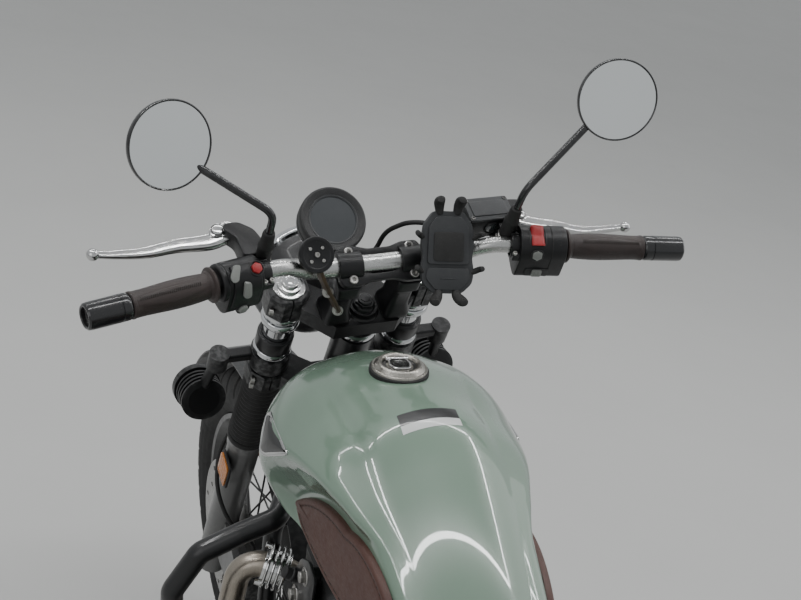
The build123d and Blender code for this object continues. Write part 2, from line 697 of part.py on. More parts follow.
def rail_z(y):
    """Height of the seat rails, which rise a little towards the rear."""
    return rail_front_z + (rail_front_y - y) * (rail_rear_z - rail_front_z) / (rail_front_y - rail_corner_y)


def arc_outline(points):
    """Closed face of arcs; each second point lies on the arc between its neighbours."""
    edges = []
    for i in range(0, len(points), 2):
        edges.append(ThreePointArc(points[i], points[i + 1], points[(i + 2) % len(points)]).edge())
    return make_face(edges)


def knee_plane(offset):
    """Plane of the knee recess's floor on the right, its X forward, its Y up and its normal outwards."""
    turn = math.radians(knee_floor_turn)
    plane = Plane(origin=(knee_floor_x, 0, 0), x_dir=(math.sin(turn), math.cos(turn), 0), z_dir=(math.cos(turn), -math.sin(turn), 0))
    return plane.offset(offset)


def tank_parts():
    """Tank lofted through its sections, with a sloping recess cut for each knee and a pad on its floor."""
    sections = []
    for y, bottom_z, bottom_half, side_z, side_half, crease_x, crease_z, top_z in tank_sections:
        wire = [
            Line((-bottom_half, bottom_z), (bottom_half, bottom_z)),
            ThreePointArc((bottom_half, bottom_z), (side_half, side_z), (crease_x, crease_z)),
            ThreePointArc((crease_x, crease_z), (0, top_z), (-crease_x, crease_z)),
            ThreePointArc((-crease_x, crease_z), (-side_half, side_z), (-bottom_half, bottom_z)),
        ]
        face = make_face([e for w in wire for e in w.edges()])
        sections.append(Plane(origin=(0, y, 0), x_dir=(-1, 0, 0), z_dir=(0, 1, 0)) * face)
    tank = loft(sections)
    tunnel = Pos(0, 100, 772) * Box(tunnel_width, 600, 116) + Pos(0, 260, 800) * Box(tunnel_width, 120, 116) + Pos(0, -20, 760) * Box(160, 150, 50)
    recess = loft([knee_plane(0) * arc_outline(knee_floor), knee_plane(knee_rim_rise) * arc_outline(knee_rim)], ruled=True)
    well = Pos(0, cap_y, cap_z) * extrude(Circle(cap_radius + 2), 60)
    pad = extrude(knee_plane(seat_gap) * arc_outline(pad_outline), pad_thickness)
    ring = make_face(
        Polyline((0, 0), (cap_radius, 0), (cap_radius, 9), (cap_radius - 4, 14), (cap_radius - 8, 17), (cap_radius - 13, 17),
                 (cap_radius - 14, 11), (0, 11), close=True).edges()
    )
    cap = revolve(Plane.XZ * ring, Axis.Z)
    flap = Pos(0, -2, 11) * extrude(RectangleRounded(26, 34, 10), 6)
    return {
        "tank": tank - tunnel - recess - mirrored(recess) - well,
        "knee_pads": both_sides(pad),
        "filler_cap": Pos(0, cap_y, cap_z + seat_gap) * (cap + flap),
    }


def frame_part():
    head = straight_upright * Pos(0, 0, -104.5) * Cylinder(29, 117)
    spine = pipe([(0, 372, 850), (0, 230, 800), (0, -160, 790)], 21, 120)
    pieces = [head, spine]
    for side in (-1, 1):
        pieces.append(pipe([(side * x, y, z) for x, y, z in down_tube_path], tube_radius, 34))
        pieces.append(pipe([(side * rail_u, -170, 736), (side * 104, rail_front_y, rail_front_z), (side * rail_u, rail_corner_y, rail_rear_z),
                            (side * 60, rail_end_y, rail_rear_z + 2), (0, rail_end_y, rail_rear_z + 2)], rail_radius, 30))
        pieces.append(pipe([(side * 106, -236, 470), (side * 108, -330, 560), (side * 104, -560, rail_z(-560))], rail_radius, 40))
    pieces.append(cylinder_between((-112, -170, 212), (112, -170, 212), 13))
    for y, z in tank_rubbers:
        reach = tunnel_width / 2 - seat_gap
        pieces.append(cylinder_between((-reach, y, z), (reach, y, z), 12))
    for side in (-1, 1):
        for y in (150, -90):
            pieces.append(Pos(side * 98, y, 212) * extrude(RectangleRounded(32, 26, 6), 24 - seat_gap))
    pieces.append(cylinder_between((-104, rail_front_y, rail_front_z), (104, rail_front_y, rail_front_z), 10))
    pieces.append(cylinder_between((-rail_u, -560, 764), (rail_u, -560, 764), 10))
    for side in (-1, 1):
        pieces.append(across([(-232, 290), (-300, 296), (-300, 362), (-232, 376)], side * 123.1 - 3, side * 123.1 + 3))
        pieces.append(across([(-578, 690), (-542, 690), (-536, 766), (-584, 768)], side * 109 - 5, side * 109 + 5))
    ear = stand_frame().offset(6 + seat_gap)
    pieces.append(extrude(ear * Circle(18), 6))
    pieces.append(extrude(stand_frame().offset(-8) * Circle(stand_pin_radius), 18))
    pieces.append(Pos(-100.5, -20, 189) * Box(7, 20, 38))
    bore = straight_upright * Pos(0, 0, -100) * Cylinder(stem_radius + stem_gap, 210)
    return fuse(pieces) - bore


def cover(centre, radius, x_start, x_end, dome=6.0):
    """Round engine cover about an axis along X, its outer edge bevelled."""
    body = wheel_ring(centre, radius, 0, min(x_start, x_end), max(x_start, x_end))
    outer = body.edges().filter_by(GeomType.CIRCLE).sort_by(Axis.X)
    return chamfer(outer[-1 if x_end > 0 else 0], dome)


def engine_parts():
    parts = {}
    case = across([(-205, 300), (-205, 430), (-150, 478), (200, 478), (236, 400), (225, 290), (180, 240), (-120, 236)], -92, 108)
    bay = Pos(-92, -130, 345) * Box(60, 170, 130)
    sump = across([(170, 232), (190, 246), (-110, 246), (-100, 232)], -70, 70)
    parts["engine_cases"] = (case - bay) + sump

    barrel = Pos(0, engine_y, 478 + seat_gap) * extrude(RectangleRounded(210, 150, 20), 90)
    head = Pos(0, engine_y, 562) * extrude(RectangleRounded(216, 164, 16), 76)
    lid = Pos(0, engine_y, 636) * extrude(RectangleRounded(196, 150, 22), 72)
    lid = chamfer(lid.edges().group_by(Axis.Z)[-1], 10)
    fins = []
    for i in range(fin_count):
        fins.append(Pos(0, engine_y, fin_base_z + fin_pitch * i) * extrude(RectangleRounded(240, 186, 18), 3.2))
    ports = [Pos(side * port_x, port_y - 14, port_z) * Rot(-90, 0, 0) * Cylinder(28, 28) for side in (-1, 1)]
    parts["cylinders"] = fuse([barrel, head, lid, *fins, *ports])

    guard = across([(-205, 300), (-205, 410), (-60, 440), (-46, 300)], -112, -98)
    guard = guard + across([(-62, 300), (-62, 430), (-46, 430), (-46, 300)], -98, -92 - seat_gap)
    clutch = cover((-20, 376), 100, 108 + seat_gap, 150, 10) + cover((135, 340), 60, 108 + seat_gap, 140, 6)
    parts["engine_covers"] = Compound(children=[cover((120, 370), 88, -92 - seat_gap, -140, 10), guard, clutch])

    throats = [cylinder_between((side * 52, engine_y - 93.1, 612), (side * 52, -70, 612), 27) for side in (-1, 1)]
    airbox = Pos(0, -130, 525) * extrude(RectangleRounded(150, 130, 18), 190)
    parts["intakes"] = fuse([airbox, *throats])
    panel = across([(-85, 722), (-100, 560), (-140, 520), (-205, 545), (-212, 640), (-212, 722)], 126, 133)
    panel = chamfer(panel.faces().sort_by(Axis.X)[-1].edges(), 3)
    stub = cylinder_between((75 + seat_gap, -130, 640), (127, -130, 640), 9)
    parts["side_covers"] = both_sides(panel + stub)
    return parts


def exhaust_part():
    """Header pipes with finned collars at the ports, and two tapered silencers."""
    pipes = []
    for side in (-1, 1):
        start = (side * port_x, port_y + seat_gap, port_z)
        header = pipe([start, *((side * x, y, z) for x, y, z in header_path)], header_radius, 36)
        for i in range(4):
            header = header + wheel_collar(start, 3 + 9 * i, 32 - 2 * i)
        front, rear = (Vector(side * x, y, z) for x, y, z in muffler_ends)
        base = Plane(origin=front, z_dir=rear - front)
        length = (rear - front).length
        outline = Polyline((0, 0), (header_radius + 2, 0), (muffler_radius, 90), (muffler_radius, length - 60), (muffler_radius - 10, length),
                           (muffler_radius - 16, length), (muffler_radius - 16, length - 80), (0, length - 80), close=True)
        muffler = base * revolve(Plane.XZ * make_face(outline.edges()), Axis.Z)
        pipes.append(header + muffler)
    return Compound(children=pipes)


def wheel_collar(start, distance, radius):
    """Round fin across a header pipe that leaves its port forwards."""
    base = Plane(origin=(start[0], start[1] + distance, start[2]), z_dir=(0, 1, 0))
    return extrude(base * Circle(radius), 4.5)


def rear_parts():
    parts = {}
    arms = []
    for side in (-1, 1):
        outline = [(swing_y + 18, swing_z + 22), (swing_y + 18, swing_z - 24), (swing_y + 6, swing_z - 28),
                   (rear_axle_y + 30, rear_axle_z - 24), (rear_axle_y - 40, rear_axle_z - 18), (rear_axle_y - 40, rear_axle_z + 18),
                   (rear_axle_y + 30, rear_axle_z + 24), (swing_y + 6, swing_z + 26)]
        arms.append(across(outline, side * swing_half - 10, side * swing_half + 10))
    pivot = cylinder_between((-120.1 + seat_gap, swing_y, swing_z), (120.1 - seat_gap, swing_y, swing_z), 22)
    brace = Pos(18, swing_y - 69, swing_z - 2) * Box(170, 40, 34)
    axle = wheel_ring((rear_axle_y, rear_axle_z), axle_radius, 0, -135, 135)
    bracket = across([(rear_axle_y + 50, rear_axle_z + 12), (rear_axle_y + 118, rear_axle_z + 12), (rear_axle_y + 108, rear_axle_z + 66),
                      (rear_axle_y + 62, rear_axle_z + 60)], 91, 97)
    caliper = across([(rear_axle_y + 62, rear_axle_z + 58), (rear_axle_y + 112, rear_axle_z + 38), (rear_axle_y + 128, rear_axle_z + 84),
                      (rear_axle_y + 84, rear_axle_z + 112)], rear_disc_x - 13, 96)
    slot = wheel_ring((rear_axle_y, rear_axle_z), rear_disc_radius + 6, 0, rear_disc_x - 6, rear_disc_x + 6)
    parts["swingarm"] = fuse([*arms, pivot, brace, axle, bracket, caliper - slot])

    shocks = []
    springs = []
    for side in (-1, 1):
        low = Vector(side * shock_low[0], *shock_low[1:])
        high = Vector(side * shock_high[0], *shock_high[1:])
        way = (high - low).normalized()
        body = cylinder_between(low, high, 8) + cylinder_between((low + high) / 2, high - way * 26, 19)
        ends = cylinder_between(low - Vector(side * (16 - seat_gap), 0, 0), low + Vector(side * 8, 0, 0), 15)
        ends = ends + cylinder_between(high - Vector(side * (14 - seat_gap), 0, 0), high + Vector(side * 8, 0, 0), 15)
        body = body + ends
        for near, far in ((43, 50 - seat_gap), ((high - low).length - 60 + seat_gap, (high - low).length - 53)):
            body = body + cylinder_between(low + way * near, low + way * far, 28)
        shocks.append(body)
        springs.append(ribbed_sleeve(low + way * 50, high - way * 60, 28, 25, 21, 11))
    parts["shocks"] = Compound(children=shocks)
    parts["shock_springs"] = Compound(children=springs)

    stations = []
    for share, height, low_half, shoulder_half, shoulder in seat_sections:
        y = seat_front_y + (rail_end_y - seat_front_y) * share
        base_z = rail_z(y) + rail_radius + seat_gap + 0.02
        wire = [
            Line((-low_half, base_z), (low_half, base_z)),
            ThreePointArc((low_half, base_z), (low_half + 6, base_z + shoulder * 0.45), (shoulder_half, base_z + shoulder)),
            ThreePointArc((shoulder_half, base_z + shoulder), (0, base_z + height), (-shoulder_half, base_z + shoulder)),
            ThreePointArc((-shoulder_half, base_z + shoulder), (-low_half - 6, base_z + shoulder * 0.45), (-low_half, base_z)),
        ]
        face = make_face([e for w in wire for e in w.edges()])
        stations.append(Plane(origin=(0, y, 0), x_dir=(-1, 0, 0), z_dir=(0, 1, 0)) * face)
    parts["seat"] = loft(stations, ruled=True)

    fender_radius = rear_tyre_radius + rear_fender_gap
    ring = wheel_ring((rear_axle_y, rear_axle_z), fender_radius + 4, fender_radius, -78, 78)
    keep = across([(rear_axle_y, rear_axle_z), (rear_axle_y + 230, rear_axle_z + 500), (rear_axle_y - 320, rear_axle_z + 500)], -100, 100)
    plate_seat = Pos(*plate_place) * Rot(plate_tilt, 0, 0)
    plate = Box(*plate_size)
    for side in (-1, 1):
        plate = plate - Pos(side * plate_hole_x, 0, 0) * Rot(90, 0, 0) * Cylinder(plate_hole_radius, 20)
    stay = cylinder_between((0, rear_axle_y - 200, 674), (0, plate_place[1] + 2, plate_place[2] + 2), 9)
    tab_top = rail_rear_z + 2 - rail_radius - seat_gap
    tab = Pos(0, rail_end_y, rear_axle_z + fender_radius - 12) * extrude(Rectangle(60, 14), tab_top - rear_axle_z - fender_radius + 12)
    parts["rear_fender"] = fuse([ring & keep, plate_seat * plate, stay, tab])

    lamp_y = rail_end_y - rail_radius - seat_gap
    glass = make_face(Polyline((0, 0), (36, 0), (36, 8), (32, 14), (32, 38), (26, 46), (0, 46), close=True).edges())
    lamp = Pos(0, lamp_y, rail_rear_z) * Rot(90, 0, 0) * revolve(Plane.XZ * glass, Axis.Z)
    tail = [lamp, cylinder_between((-90, lamp_y - 14, 742), (90, lamp_y - 14, 742), 8)]
    for side in (-1, 1):
        bulb = cylinder_between((side * 86, lamp_y - 14, 742), (side * 120, lamp_y - 14, 742), 17)
        tail.append(chamfer(bulb.edges().filter_by(GeomType.CIRCLE), 4))
    parts["tail_lamp"] = fuse(tail)

    pegs = []
    for side in (-1, 1):
        inner = 126.1 + seat_gap
        plate = across([(-290, 356), (-200, 372), (-145, 330), (-145, 292), (-200, 288), (-290, 304)],
                       min(side * inner, side * 134), max(side * inner, side * 134))
        peg = cylinder_between((side * 130, -165, 310), (side * 240, -165, 312), 14)
        pegs.append(plate + peg)
    gear = pipe([(-150, -165, 330), (-160, -60, 300), (-160, 0, 318), (-215, 0, 318)], 6, 12)
    pegs[0] = pegs[0] + gear + Pos(-140, -165, 330) * Rot(0, 90, 0) * Cylinder(10, 30)
    parts["footpegs"] = Compound(children=pegs)

    bars = []
    for side in (-1, 1):
        bar = pipe([(side * x, y, z) for x, y, z in crash_bar_path], crash_bar_radius, 22)
        for first, second in zip(down_tube_path[:2], down_tube_path[1:3]):
            bar = bar - cylinder_between((side * first[0], *first[1:]), (side * second[0], *second[1:]), tube_radius + seat_gap)
        bars.append(bar)
    parts["crash_bar"] = Compound(children=bars)
    parts["chain"] = chain_part()
    return parts


def chain_part():
    """Chain band around both sprockets, notched between its links."""
    front_y, front_z, front_radius = drive_sprocket
    run = math.hypot(rear_axle_y - front_y, rear_axle_z - front_z)
    slant = math.atan2(rear_axle_z - front_z, rear_axle_y - front_y)
    spread = math.asin((rear_sprocket_radius - front_radius) / run)
    circles = ((front_y, front_z, front_radius), (rear_axle_y, rear_axle_z, rear_sprocket_radius))

    def rim_point(circle, angle, extra):
        return circle[0] + (circle[2] + extra) * math.cos(angle), circle[1] + (circle[2] + extra) * math.sin(angle)

    def band(extra):
        top = [rim_point(circle, slant + math.pi / 2 + spread, extra) for circle in circles]
        low = [rim_point(circle, slant - math.pi / 2 - spread, extra) for circle in circles]
        body = across([*top, *reversed(low)], chain_x - 6, chain_x + 6)
        for y, z, radius in circles:
            body = body + wheel_ring((y, z), radius + extra, 0, chain_x - 6, chain_x + 6)
        return body

    spots = []
    straight = run * math.cos(spread)
    for sign in (1, -1):
        angle = slant + sign * (math.pi / 2 + spread)
        start = rim_point(circles[0], angle, 6)
        count = round(straight / chain_pitch)
        for i in range(count):
            reach = (i + 0.5) * straight / count
            along = angle - sign * math.pi / 2
            spots.append((start[0] + reach * math.cos(along), start[1] + reach * math.sin(along), angle))
    for circle, middle, half in ((circles[0], slant + math.pi, math.pi / 2 - spread), (circles[1], slant, math.pi / 2 + spread)):
        count = round(2 * half * circle[2] / chain_pitch)
        for i in range(count):
            angle = middle - half + (i + 0.5) * 2 * half / count
            spots.append((*rim_point(circle, angle, 6), angle))
    notches = [Pos(chain_x, y, z) * Rot(math.degrees(angle) - 90, 0, 0) * Box(14, 5, 6) for y, z, angle in spots]
    return (band(6) - band(-6)).cut(*notches)


def body_parts():
    parts = tank_parts()
    parts["frame"] = frame_part()
    parts.update(engine_parts())
    parts["exhaust"] = exhaust_part()
    parts.update(rear_parts())
    return parts


def wheel_parts():
    front = {
        "front_tyre": tyre(front_tyre_radius, front_tyre_half_width, rim_radius_front, rim_half_width_front),
        "front_wheel": spoked_wheel(rim_radius_front, rim_half_width_front),
        "front_disc": brake_disc(disc_radius, disc_inner_radius, front_disc_x, 20)
        + disc_carrier(disc_inner_radius, front_disc_x, -hub_half_width - seat_gap),
    }
    sprocket = wheel_ring((0, 0), 86, 30, -81, -75) + wheel_ring((0, 0), 40, 30, -75, -hub_half_width - seat_gap)
    rear_disc = brake_disc(rear_disc_radius, rear_disc_inner_radius, rear_disc_x, 14)
    rear_disc = rear_disc + disc_carrier(rear_disc_inner_radius, rear_disc_x, hub_half_width + seat_gap)
    rear = {
        "rear_tyre": tyre(rear_tyre_radius, rear_tyre_half_width, rim_radius_rear, rim_half_width_rear),
        "rear_wheel": spoked_wheel(rim_radius_rear, rim_half_width_rear),
        "rear_disc": Compound(children=[rear_disc, sprocket]),
    }
    return front, rear


def stand_frame():
    """Plane at the stand's pivot, upright, whose normal is the hinge pin."""
    return facing(stand_pivot, stand_axis)


def stand_parts():
    """Side stand, drawn in the leaning frame so that its foot lies flat on the ground."""
    plane = Plane(ground * stand_frame().location)
    pivot = plane.origin
    foot = Vector(pivot.X + stand_reach[0], pivot.Y + stand_reach[1], 0)
    eye = extrude(plane * Circle(17), 6, both=True)
    bore = extrude(plane * Circle(stand_pin_radius + fit_gap), 30, both=True)
    way = (foot - pivot).normalized()
    leg = cylinder_between(pivot + way * 12, foot - way * 6, 10) - extrude(plane.offset(6) * Circle(60), 40)
    sole = Pos(foot.X, foot.Y, 4) * Box(50, 70, 8)
    below = Pos(foot.X, foot.Y, -50) * Box(200, 200, 100)
    return {"side_stand": fuse([eye, leg, sole]) - bore - below}


if __name__ == "__main__":
    os.makedirs("parts", exist_ok=True)
    placed = {}
    for name, shape in front_parts().items():
        placed[name] = ground * steer_upright * shape
    for name, shape in body_parts().items():
        placed[name] = ground * shape
    front, rear = wheel_parts()
    for name, shape in front.items():
        placed[name] = ground * steer_upright * Pos(0, axle_v, axle_w) * shape
    for name, shape in rear.items():
        placed[name] = ground * Pos(0, rear_axle_y, rear_axle_z) * shape
    for name, shape in stand_parts().items():
        placed[name] = shape

    boxes = [shape.bounding_box() for shape in placed.values()]
    low = [min(getattr(b.min, k) for b in boxes) for k in "XYZ"]
    high = [max(getattr(b.max, k) for b in boxes) for k in "XYZ"]
    centre = Pos(-(low[0] + high[0]) / 2, -(low[1] + high[1]) / 2, 0)
    print("box", [round(a) for a in low], [round(a) for a in high])
    for name, shape in placed.items():
        moved = centre * shape
        export_step(moved, f"parts/{name}.step")
        print(name, len(moved.solids()), round(sum(s.volume for s in moved.solids())))

    def spot(location):
        return [round(v / 1000, 6) for v in (centre * location).position]

    def way(location, direction):
        start = (centre * location).position
        end = (centre * location * Pos(*direction)).position
        return [round(v, 6) for v in (end - start)]

    print("PLACES", json.dumps({
        "steer": [spot(ground * steer_upright), way(ground * steer_upright, (0, 0, 1))],
        "front": [spot(ground * steer_upright * Pos(0, axle_v, axle_w)), way(ground * steer_upright, (1, 0, 0))],
        "rear": [spot(ground * Pos(0, rear_axle_y, rear_axle_z)), way(ground, (1, 0, 0))],
        "stand": [spot(ground * Pos(*stand_pivot)), way(ground, Vector(*stand_axis).normalized())],
        "foot": [spot(Pos((ground * Pos(*stand_pivot)).position.X + stand_reach[0], stand_reach[1] - 20, 0)), [0, 0, -1]],
        "plate": [spot(ground * Pos(*plate_place)), way(ground * Pos(*plate_place) * Rot(plate_tilt, 0, 0), (0, -1, 0))],
    }))
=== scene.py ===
import json
import math
import bmesh
import bpy
from mathutils import Matrix, Vector
from mathutils.bvhtree import BVHTree


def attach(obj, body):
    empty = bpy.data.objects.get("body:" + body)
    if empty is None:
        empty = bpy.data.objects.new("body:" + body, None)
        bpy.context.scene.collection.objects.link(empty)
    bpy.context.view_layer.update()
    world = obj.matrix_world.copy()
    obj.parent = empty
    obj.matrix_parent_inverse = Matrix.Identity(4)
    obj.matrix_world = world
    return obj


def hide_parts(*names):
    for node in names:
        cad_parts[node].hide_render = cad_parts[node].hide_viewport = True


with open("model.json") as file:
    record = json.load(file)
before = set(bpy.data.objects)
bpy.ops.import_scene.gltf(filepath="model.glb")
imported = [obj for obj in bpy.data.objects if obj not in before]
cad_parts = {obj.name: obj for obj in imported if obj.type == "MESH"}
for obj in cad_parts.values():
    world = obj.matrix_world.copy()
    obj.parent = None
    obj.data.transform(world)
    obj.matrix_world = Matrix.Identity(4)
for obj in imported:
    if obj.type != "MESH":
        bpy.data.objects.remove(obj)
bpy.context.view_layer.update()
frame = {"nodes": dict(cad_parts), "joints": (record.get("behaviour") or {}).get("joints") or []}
cadNodes = frame["nodes"]
joints = {joint["name"]: joint for joint in frame["joints"]}
print("stage: frame loaded,", len(cadNodes), "nodes")


# frames of the motorcycle, sizes inside them are in millimetres

def frameAt(origin, right, up):
    right = Vector(right).normalized()
    up = Vector(up)
    up = (up - right * right.dot(up)).normalized()
    forward = up.cross(right)
    turn = Matrix((right, forward, up)).transposed().to_4x4()
    return Matrix.Translation(Vector(origin)) @ turn @ Matrix.Scale(0.001, 4)


headSpot = {"y": 341.0, "z": 968.0}
steering = joints["steering"]
frontSpin = joints["front_wheel_spin"]
rearSpin = joints["rear_wheel_spin"]
steer = frameAt(steering["pos_m"], frontSpin["axis"], steering["axis"])
acrossBike = Vector(rearSpin["axis"])
bikeUp = acrossBike.cross(Vector((0, 1, 0)))
bikeOrigin = Vector(steering["pos_m"]) - Vector((0, 1, 0)) * headSpot["y"] * 0.001 - bikeUp * headSpot["z"] * 0.001
bike = frameAt(bikeOrigin, acrossBike, bikeUp)
frontWheel = frameAt(frontSpin["pos_m"], frontSpin["axis"], steering["axis"])
rearWheel = frameAt(rearSpin["pos_m"], rearSpin["axis"], bikeUp)


# shape helpers

def newMesh():
    return bmesh.new()


def turned(x=0.0, y=0.0, z=0.0):
    return (Matrix.Rotation(math.radians(z), 4, "Z") @ Matrix.Rotation(math.radians(y), 4,
            "Y") @ Matrix.Rotation(math.radians(x), 4, "X"))


def facing(at, normal, up=(0, 0, 1)):
    normal = Vector(normal).normalized()
    side = Vector(up).cross(normal).normalized()
    top = normal.cross(side)
    return Matrix.Translation(Vector(at)) @ Matrix((side, top, normal)).transposed().to_4x4()


def moved(x=0.0, y=0.0, z=0.0):
    return Matrix.Translation(Vector((x, y, z)))


def rounded(points, radius, steps=4, closed=True):
    points = [Vector(p) for p in points]
    result = []
    count = len(points)
    for i, corner in enumerate(points):
        if not closed and i in (0, count - 1):
            result.append(corner.copy())
            continue
        before = points[i - 1] - corner
        after = points[(i + 1) % count] - corner
        reach = min(radius, before.length * 0.45, after.length * 0.45)
        start = corner + before.normalized() * reach
        end = corner + after.normalized() * reach
        for k in range(steps + 1):
            t = k / steps
            result.append(start * (1 - t) ** 2 + corner * 2 * t * (1 - t) + end * t ** 2)
    return result


def flat(points, radius, steps=4, closed=True):
    return [(p.x, p.y) for p in rounded([(*p, 0) for p in points], radius, steps, closed)]


def oblong(x, y, radius, steps=4):
    return flat([(-x, -y), (x, -y), (x, y), (-x, y)], radius, steps)


def sideways(sign):
    # outlines in (y, z), thickness along x
    return Matrix(((0, 0, sign, 0), (1, 0, 0, 0), (0, 1, 0, 0), (0, 0, 0, 1)))


def skin(mesh, rings, around=True, back=False):
    # quads between neighbouring rows of vertices
    for low, high in zip(rings, rings[1:] + (rings[:1] if back else [])):
        for k in range(len(low) if around else len(low) - 1):
            j = (k + 1) % len(low)
            mesh.faces.new((low[k], low[j], high[j], high[k]))


def lathe(mesh, profile, place=Matrix(), segments=56, start=0.0, sweep=360.0):
    full = sweep >= 359.9
    count = segments if full else segments + 1
    rings = []
    for radius, height in profile:
        if abs(radius) < 1e-6:
            rings.append([mesh.verts.new(place @ Vector((0, 0, height)))])
            continue
        ring = []
        for i in range(count):
            angle = math.radians(start + sweep * i / segments)
            ring.append(mesh.verts.new(place @ Vector((radius * math.cos(angle), radius * math.sin(angle),
                    height))))
        rings.append(ring)
    for low, high in zip(rings, rings[1:]):
        for i in range(segments):
            j = (i + 1) % count
            if len(low) == 1 and len(high) == 1:
                continue
            if len(low) == 1:
                mesh.faces.new((low[0], high[j], high[i]))
            elif len(high) == 1:
                mesh.faces.new((low[i], low[j], high[0]))
            else:
                mesh.faces.new((low[i], low[j], high[j], high[i]))
    return mesh


def prism(mesh, outline, bottom, top, place=Matrix()):
    low = [mesh.verts.new(place @ Vector((p[0], p[1], bottom))) for p in outline]
    high = [mesh.verts.new(place @ Vector((p[0], p[1], top))) for p in outline]
    mesh.faces.new(list(reversed(low)))
    mesh.faces.new(high)
    skin(mesh, [low, high])
    return mesh


def block(mesh, size, place=Matrix()):
    x, y, z = (s / 2 for s in size)
    return prism(mesh, [(-x, -y), (x, -y), (x, y), (-x, y)], -z, z, place)


def disc(radius, sides=48, squash=1.0):
    return [(radius * math.cos(math.tau * i / sides), squash * radius * math.sin(math.tau * i / sides))
            for i in range(sides)]


def smoothPath(points, count):
    points = [Vector(p) for p in points]
    padded = [points[0] * 2 - points[1]] + points + [points[-1] * 2 - points[-2]]
    result = []
    spans = len(points) - 1
    for k in range(count + 1):
        place = min(k / count * spans, spans - 1e-9)
        i = int(place)
        t = place - i
        a, b, c, d = padded[i:i + 4]
        result.append(0.5 * (2 * b + (c - a) * t + (2 * a - 5 * b + 4 * c - d) * t * t
                             + (3 * b - a - 3 * c + d) * t ** 3))
    return result


def sweepAlong(mesh, path, section, sizes=None, up=(0, 0, 1), closed=False, caps=True):
    path = [Vector(p) for p in path]
    count = len(path)
    rings = []
    side = None
    for i, point in enumerate(path):
        if closed:
            way = (path[(i + 1) % count] - path[i - 1]).normalized()
        else:
            way = (path[min(i + 1, count - 1)] - path[max(i - 1, 0)]).normalized()
        if side is None:
            side = Vector(up).cross(way)
            if side.length < 1e-3:
                side = Vector((1, 0, 0)).cross(way)
        side = (side - way * side.dot(way)).normalized()
        over = way.cross(side)
        wide, tall = (1, 1) if sizes is None else sizes[i]
        rings.append([mesh.verts.new(point + side * p[0] * wide + over * p[1] * tall) for p in section])
    skin(mesh, rings, back=closed)
    if caps and not closed:
        mesh.faces.new(list(reversed(rings[0])))
        mesh.faces.new(rings[-1])
    return mesh


def tube(mesh, points, radius, bend=0.0, sides=20, steps=6):
    path = rounded(points, bend, steps, closed=False) if bend else [Vector(p) for p in points]
    return sweepAlong(mesh, path, disc(radius, sides))


def socketBolt(mesh, place, radius=6.0, height=5.0):
    recess = height - 0.6 * radius
    lathe(mesh, [(0, recess), (radius * 0.5, recess), (radius * 0.5, height), (radius * 0.86, height),
            (radius, height - radius * 0.14), (radius, 0), (0, 0)], place, 20)
    return mesh


def hexBolt(mesh, place, radius=7.0, height=5.0, washer=1.5):
    if washer:
        lathe(mesh, [(0, washer), (radius * 1.5, washer), (radius * 1.6, 0), (0, 0)], place, 24)
    prism(mesh, disc(radius, 6), washer, washer + height, place)
    top = height + washer
    lathe(mesh, [(0, top + 0.8), (radius * 0.7, top + 0.8), (radius * 0.85, top), (0, top)], place, 20)
    return mesh


# pieces

def mirrorX(mesh):
    result = mesh.copy()
    bmesh.ops.transform(result, matrix=Matrix.Scale(-1, 4, (1, 0, 0)), verts=result.verts)
    bmesh.ops.reverse_faces(result, faces=result.faces)
    return result


def withMirror(mesh):
    twin = mirrorX(mesh)
    data = bpy.data.meshes.new("twin")
    twin.to_mesh(data)
    twin.free()
    mesh.from_mesh(data)
    bpy.data.meshes.remove(data)
    return mesh


bodyFrames = {"chassis": bike, "steering": steer, "front_wheel_set": frontWheel, "rear_wheel_set": rearWheel}
bevelAngle = 38.0


def piece(name, mesh, finish, body, bevel=0.0, sharp=32.0, replaces=(), segments=2):
    mesh.normal_update()
    bmesh.ops.recalc_face_normals(mesh, faces=mesh.faces)
    bmesh.ops.transform(mesh, matrix=bodyFrames[body], verts=mesh.verts)
    made = placeInScene(name, mesh)
    if bevel:
        soft = made.modifiers.new("soft edges", "BEVEL")
        soft.width = bevel * 0.001
        soft.segments = segments
        soft.limit_method = "ANGLE"
        soft.angle_limit = math.radians(bevelAngle)
        rough, finished = made.data, evaluated(made)
        made.modifiers.clear()
        made.data = finished
        bpy.data.meshes.remove(rough)
        finished.name = name
    softShade(made.data, sharp)
    made.data.materials.clear()
    made.data.materials.append(finishes[finish])
    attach(made, body)
    if replaces:
        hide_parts(*replaces)
    return made


def placeInScene(name, mesh):
    data = bpy.data.meshes.new(name)
    mesh.to_mesh(data)
    mesh.free()
    made = bpy.data.objects.new(name, data)
    bpy.context.scene.collection.objects.link(made)
    return made


def evaluated(made):
    bpy.context.view_layer.update()
    return bpy.data.meshes.new_from_object(made.evaluated_get(bpy.context.evaluated_depsgraph_get()))


def softShade(data, sharp):
    mesh = bmesh.new()
    mesh.from_mesh(data)
    limit = math.radians(sharp)
    for face in mesh.faces:
        face.smooth = True
    for edge in mesh.edges:
        edge.smooth = len(edge.link_faces) == 2 and edge.calc_face_angle(0.0) < limit
    mesh.to_mesh(data)
    mesh.free()


# shader groups that several materials share

def groupWith(name, inputs, outputs):
    tree = bpy.data.node_groups.new(name, "ShaderNodeTree")
    for label, kind, value in inputs:
        socket = tree.interface.new_socket(label, in_out="INPUT", socket_type=kind)
        if value is not None:
            socket.default_value = value
    for label, kind in outputs:
        tree.interface.new_socket(label, in_out="OUTPUT", socket_type=kind)
    return tree, tree.nodes.new("NodeGroupInput"), tree.nodes.new("NodeGroupOutput")


def node(tree, kind, links=None, **settings):
    made = tree.nodes.new(kind)
    for key, value in settings.items():
        setattr(made, key, value)
    for key, value in (links or {}).items():
        if isinstance(value, bpy.types.NodeSocket):
            tree.links.new(value, made.inputs[key])
        else:
            made.inputs[key].default_value = value
    return made


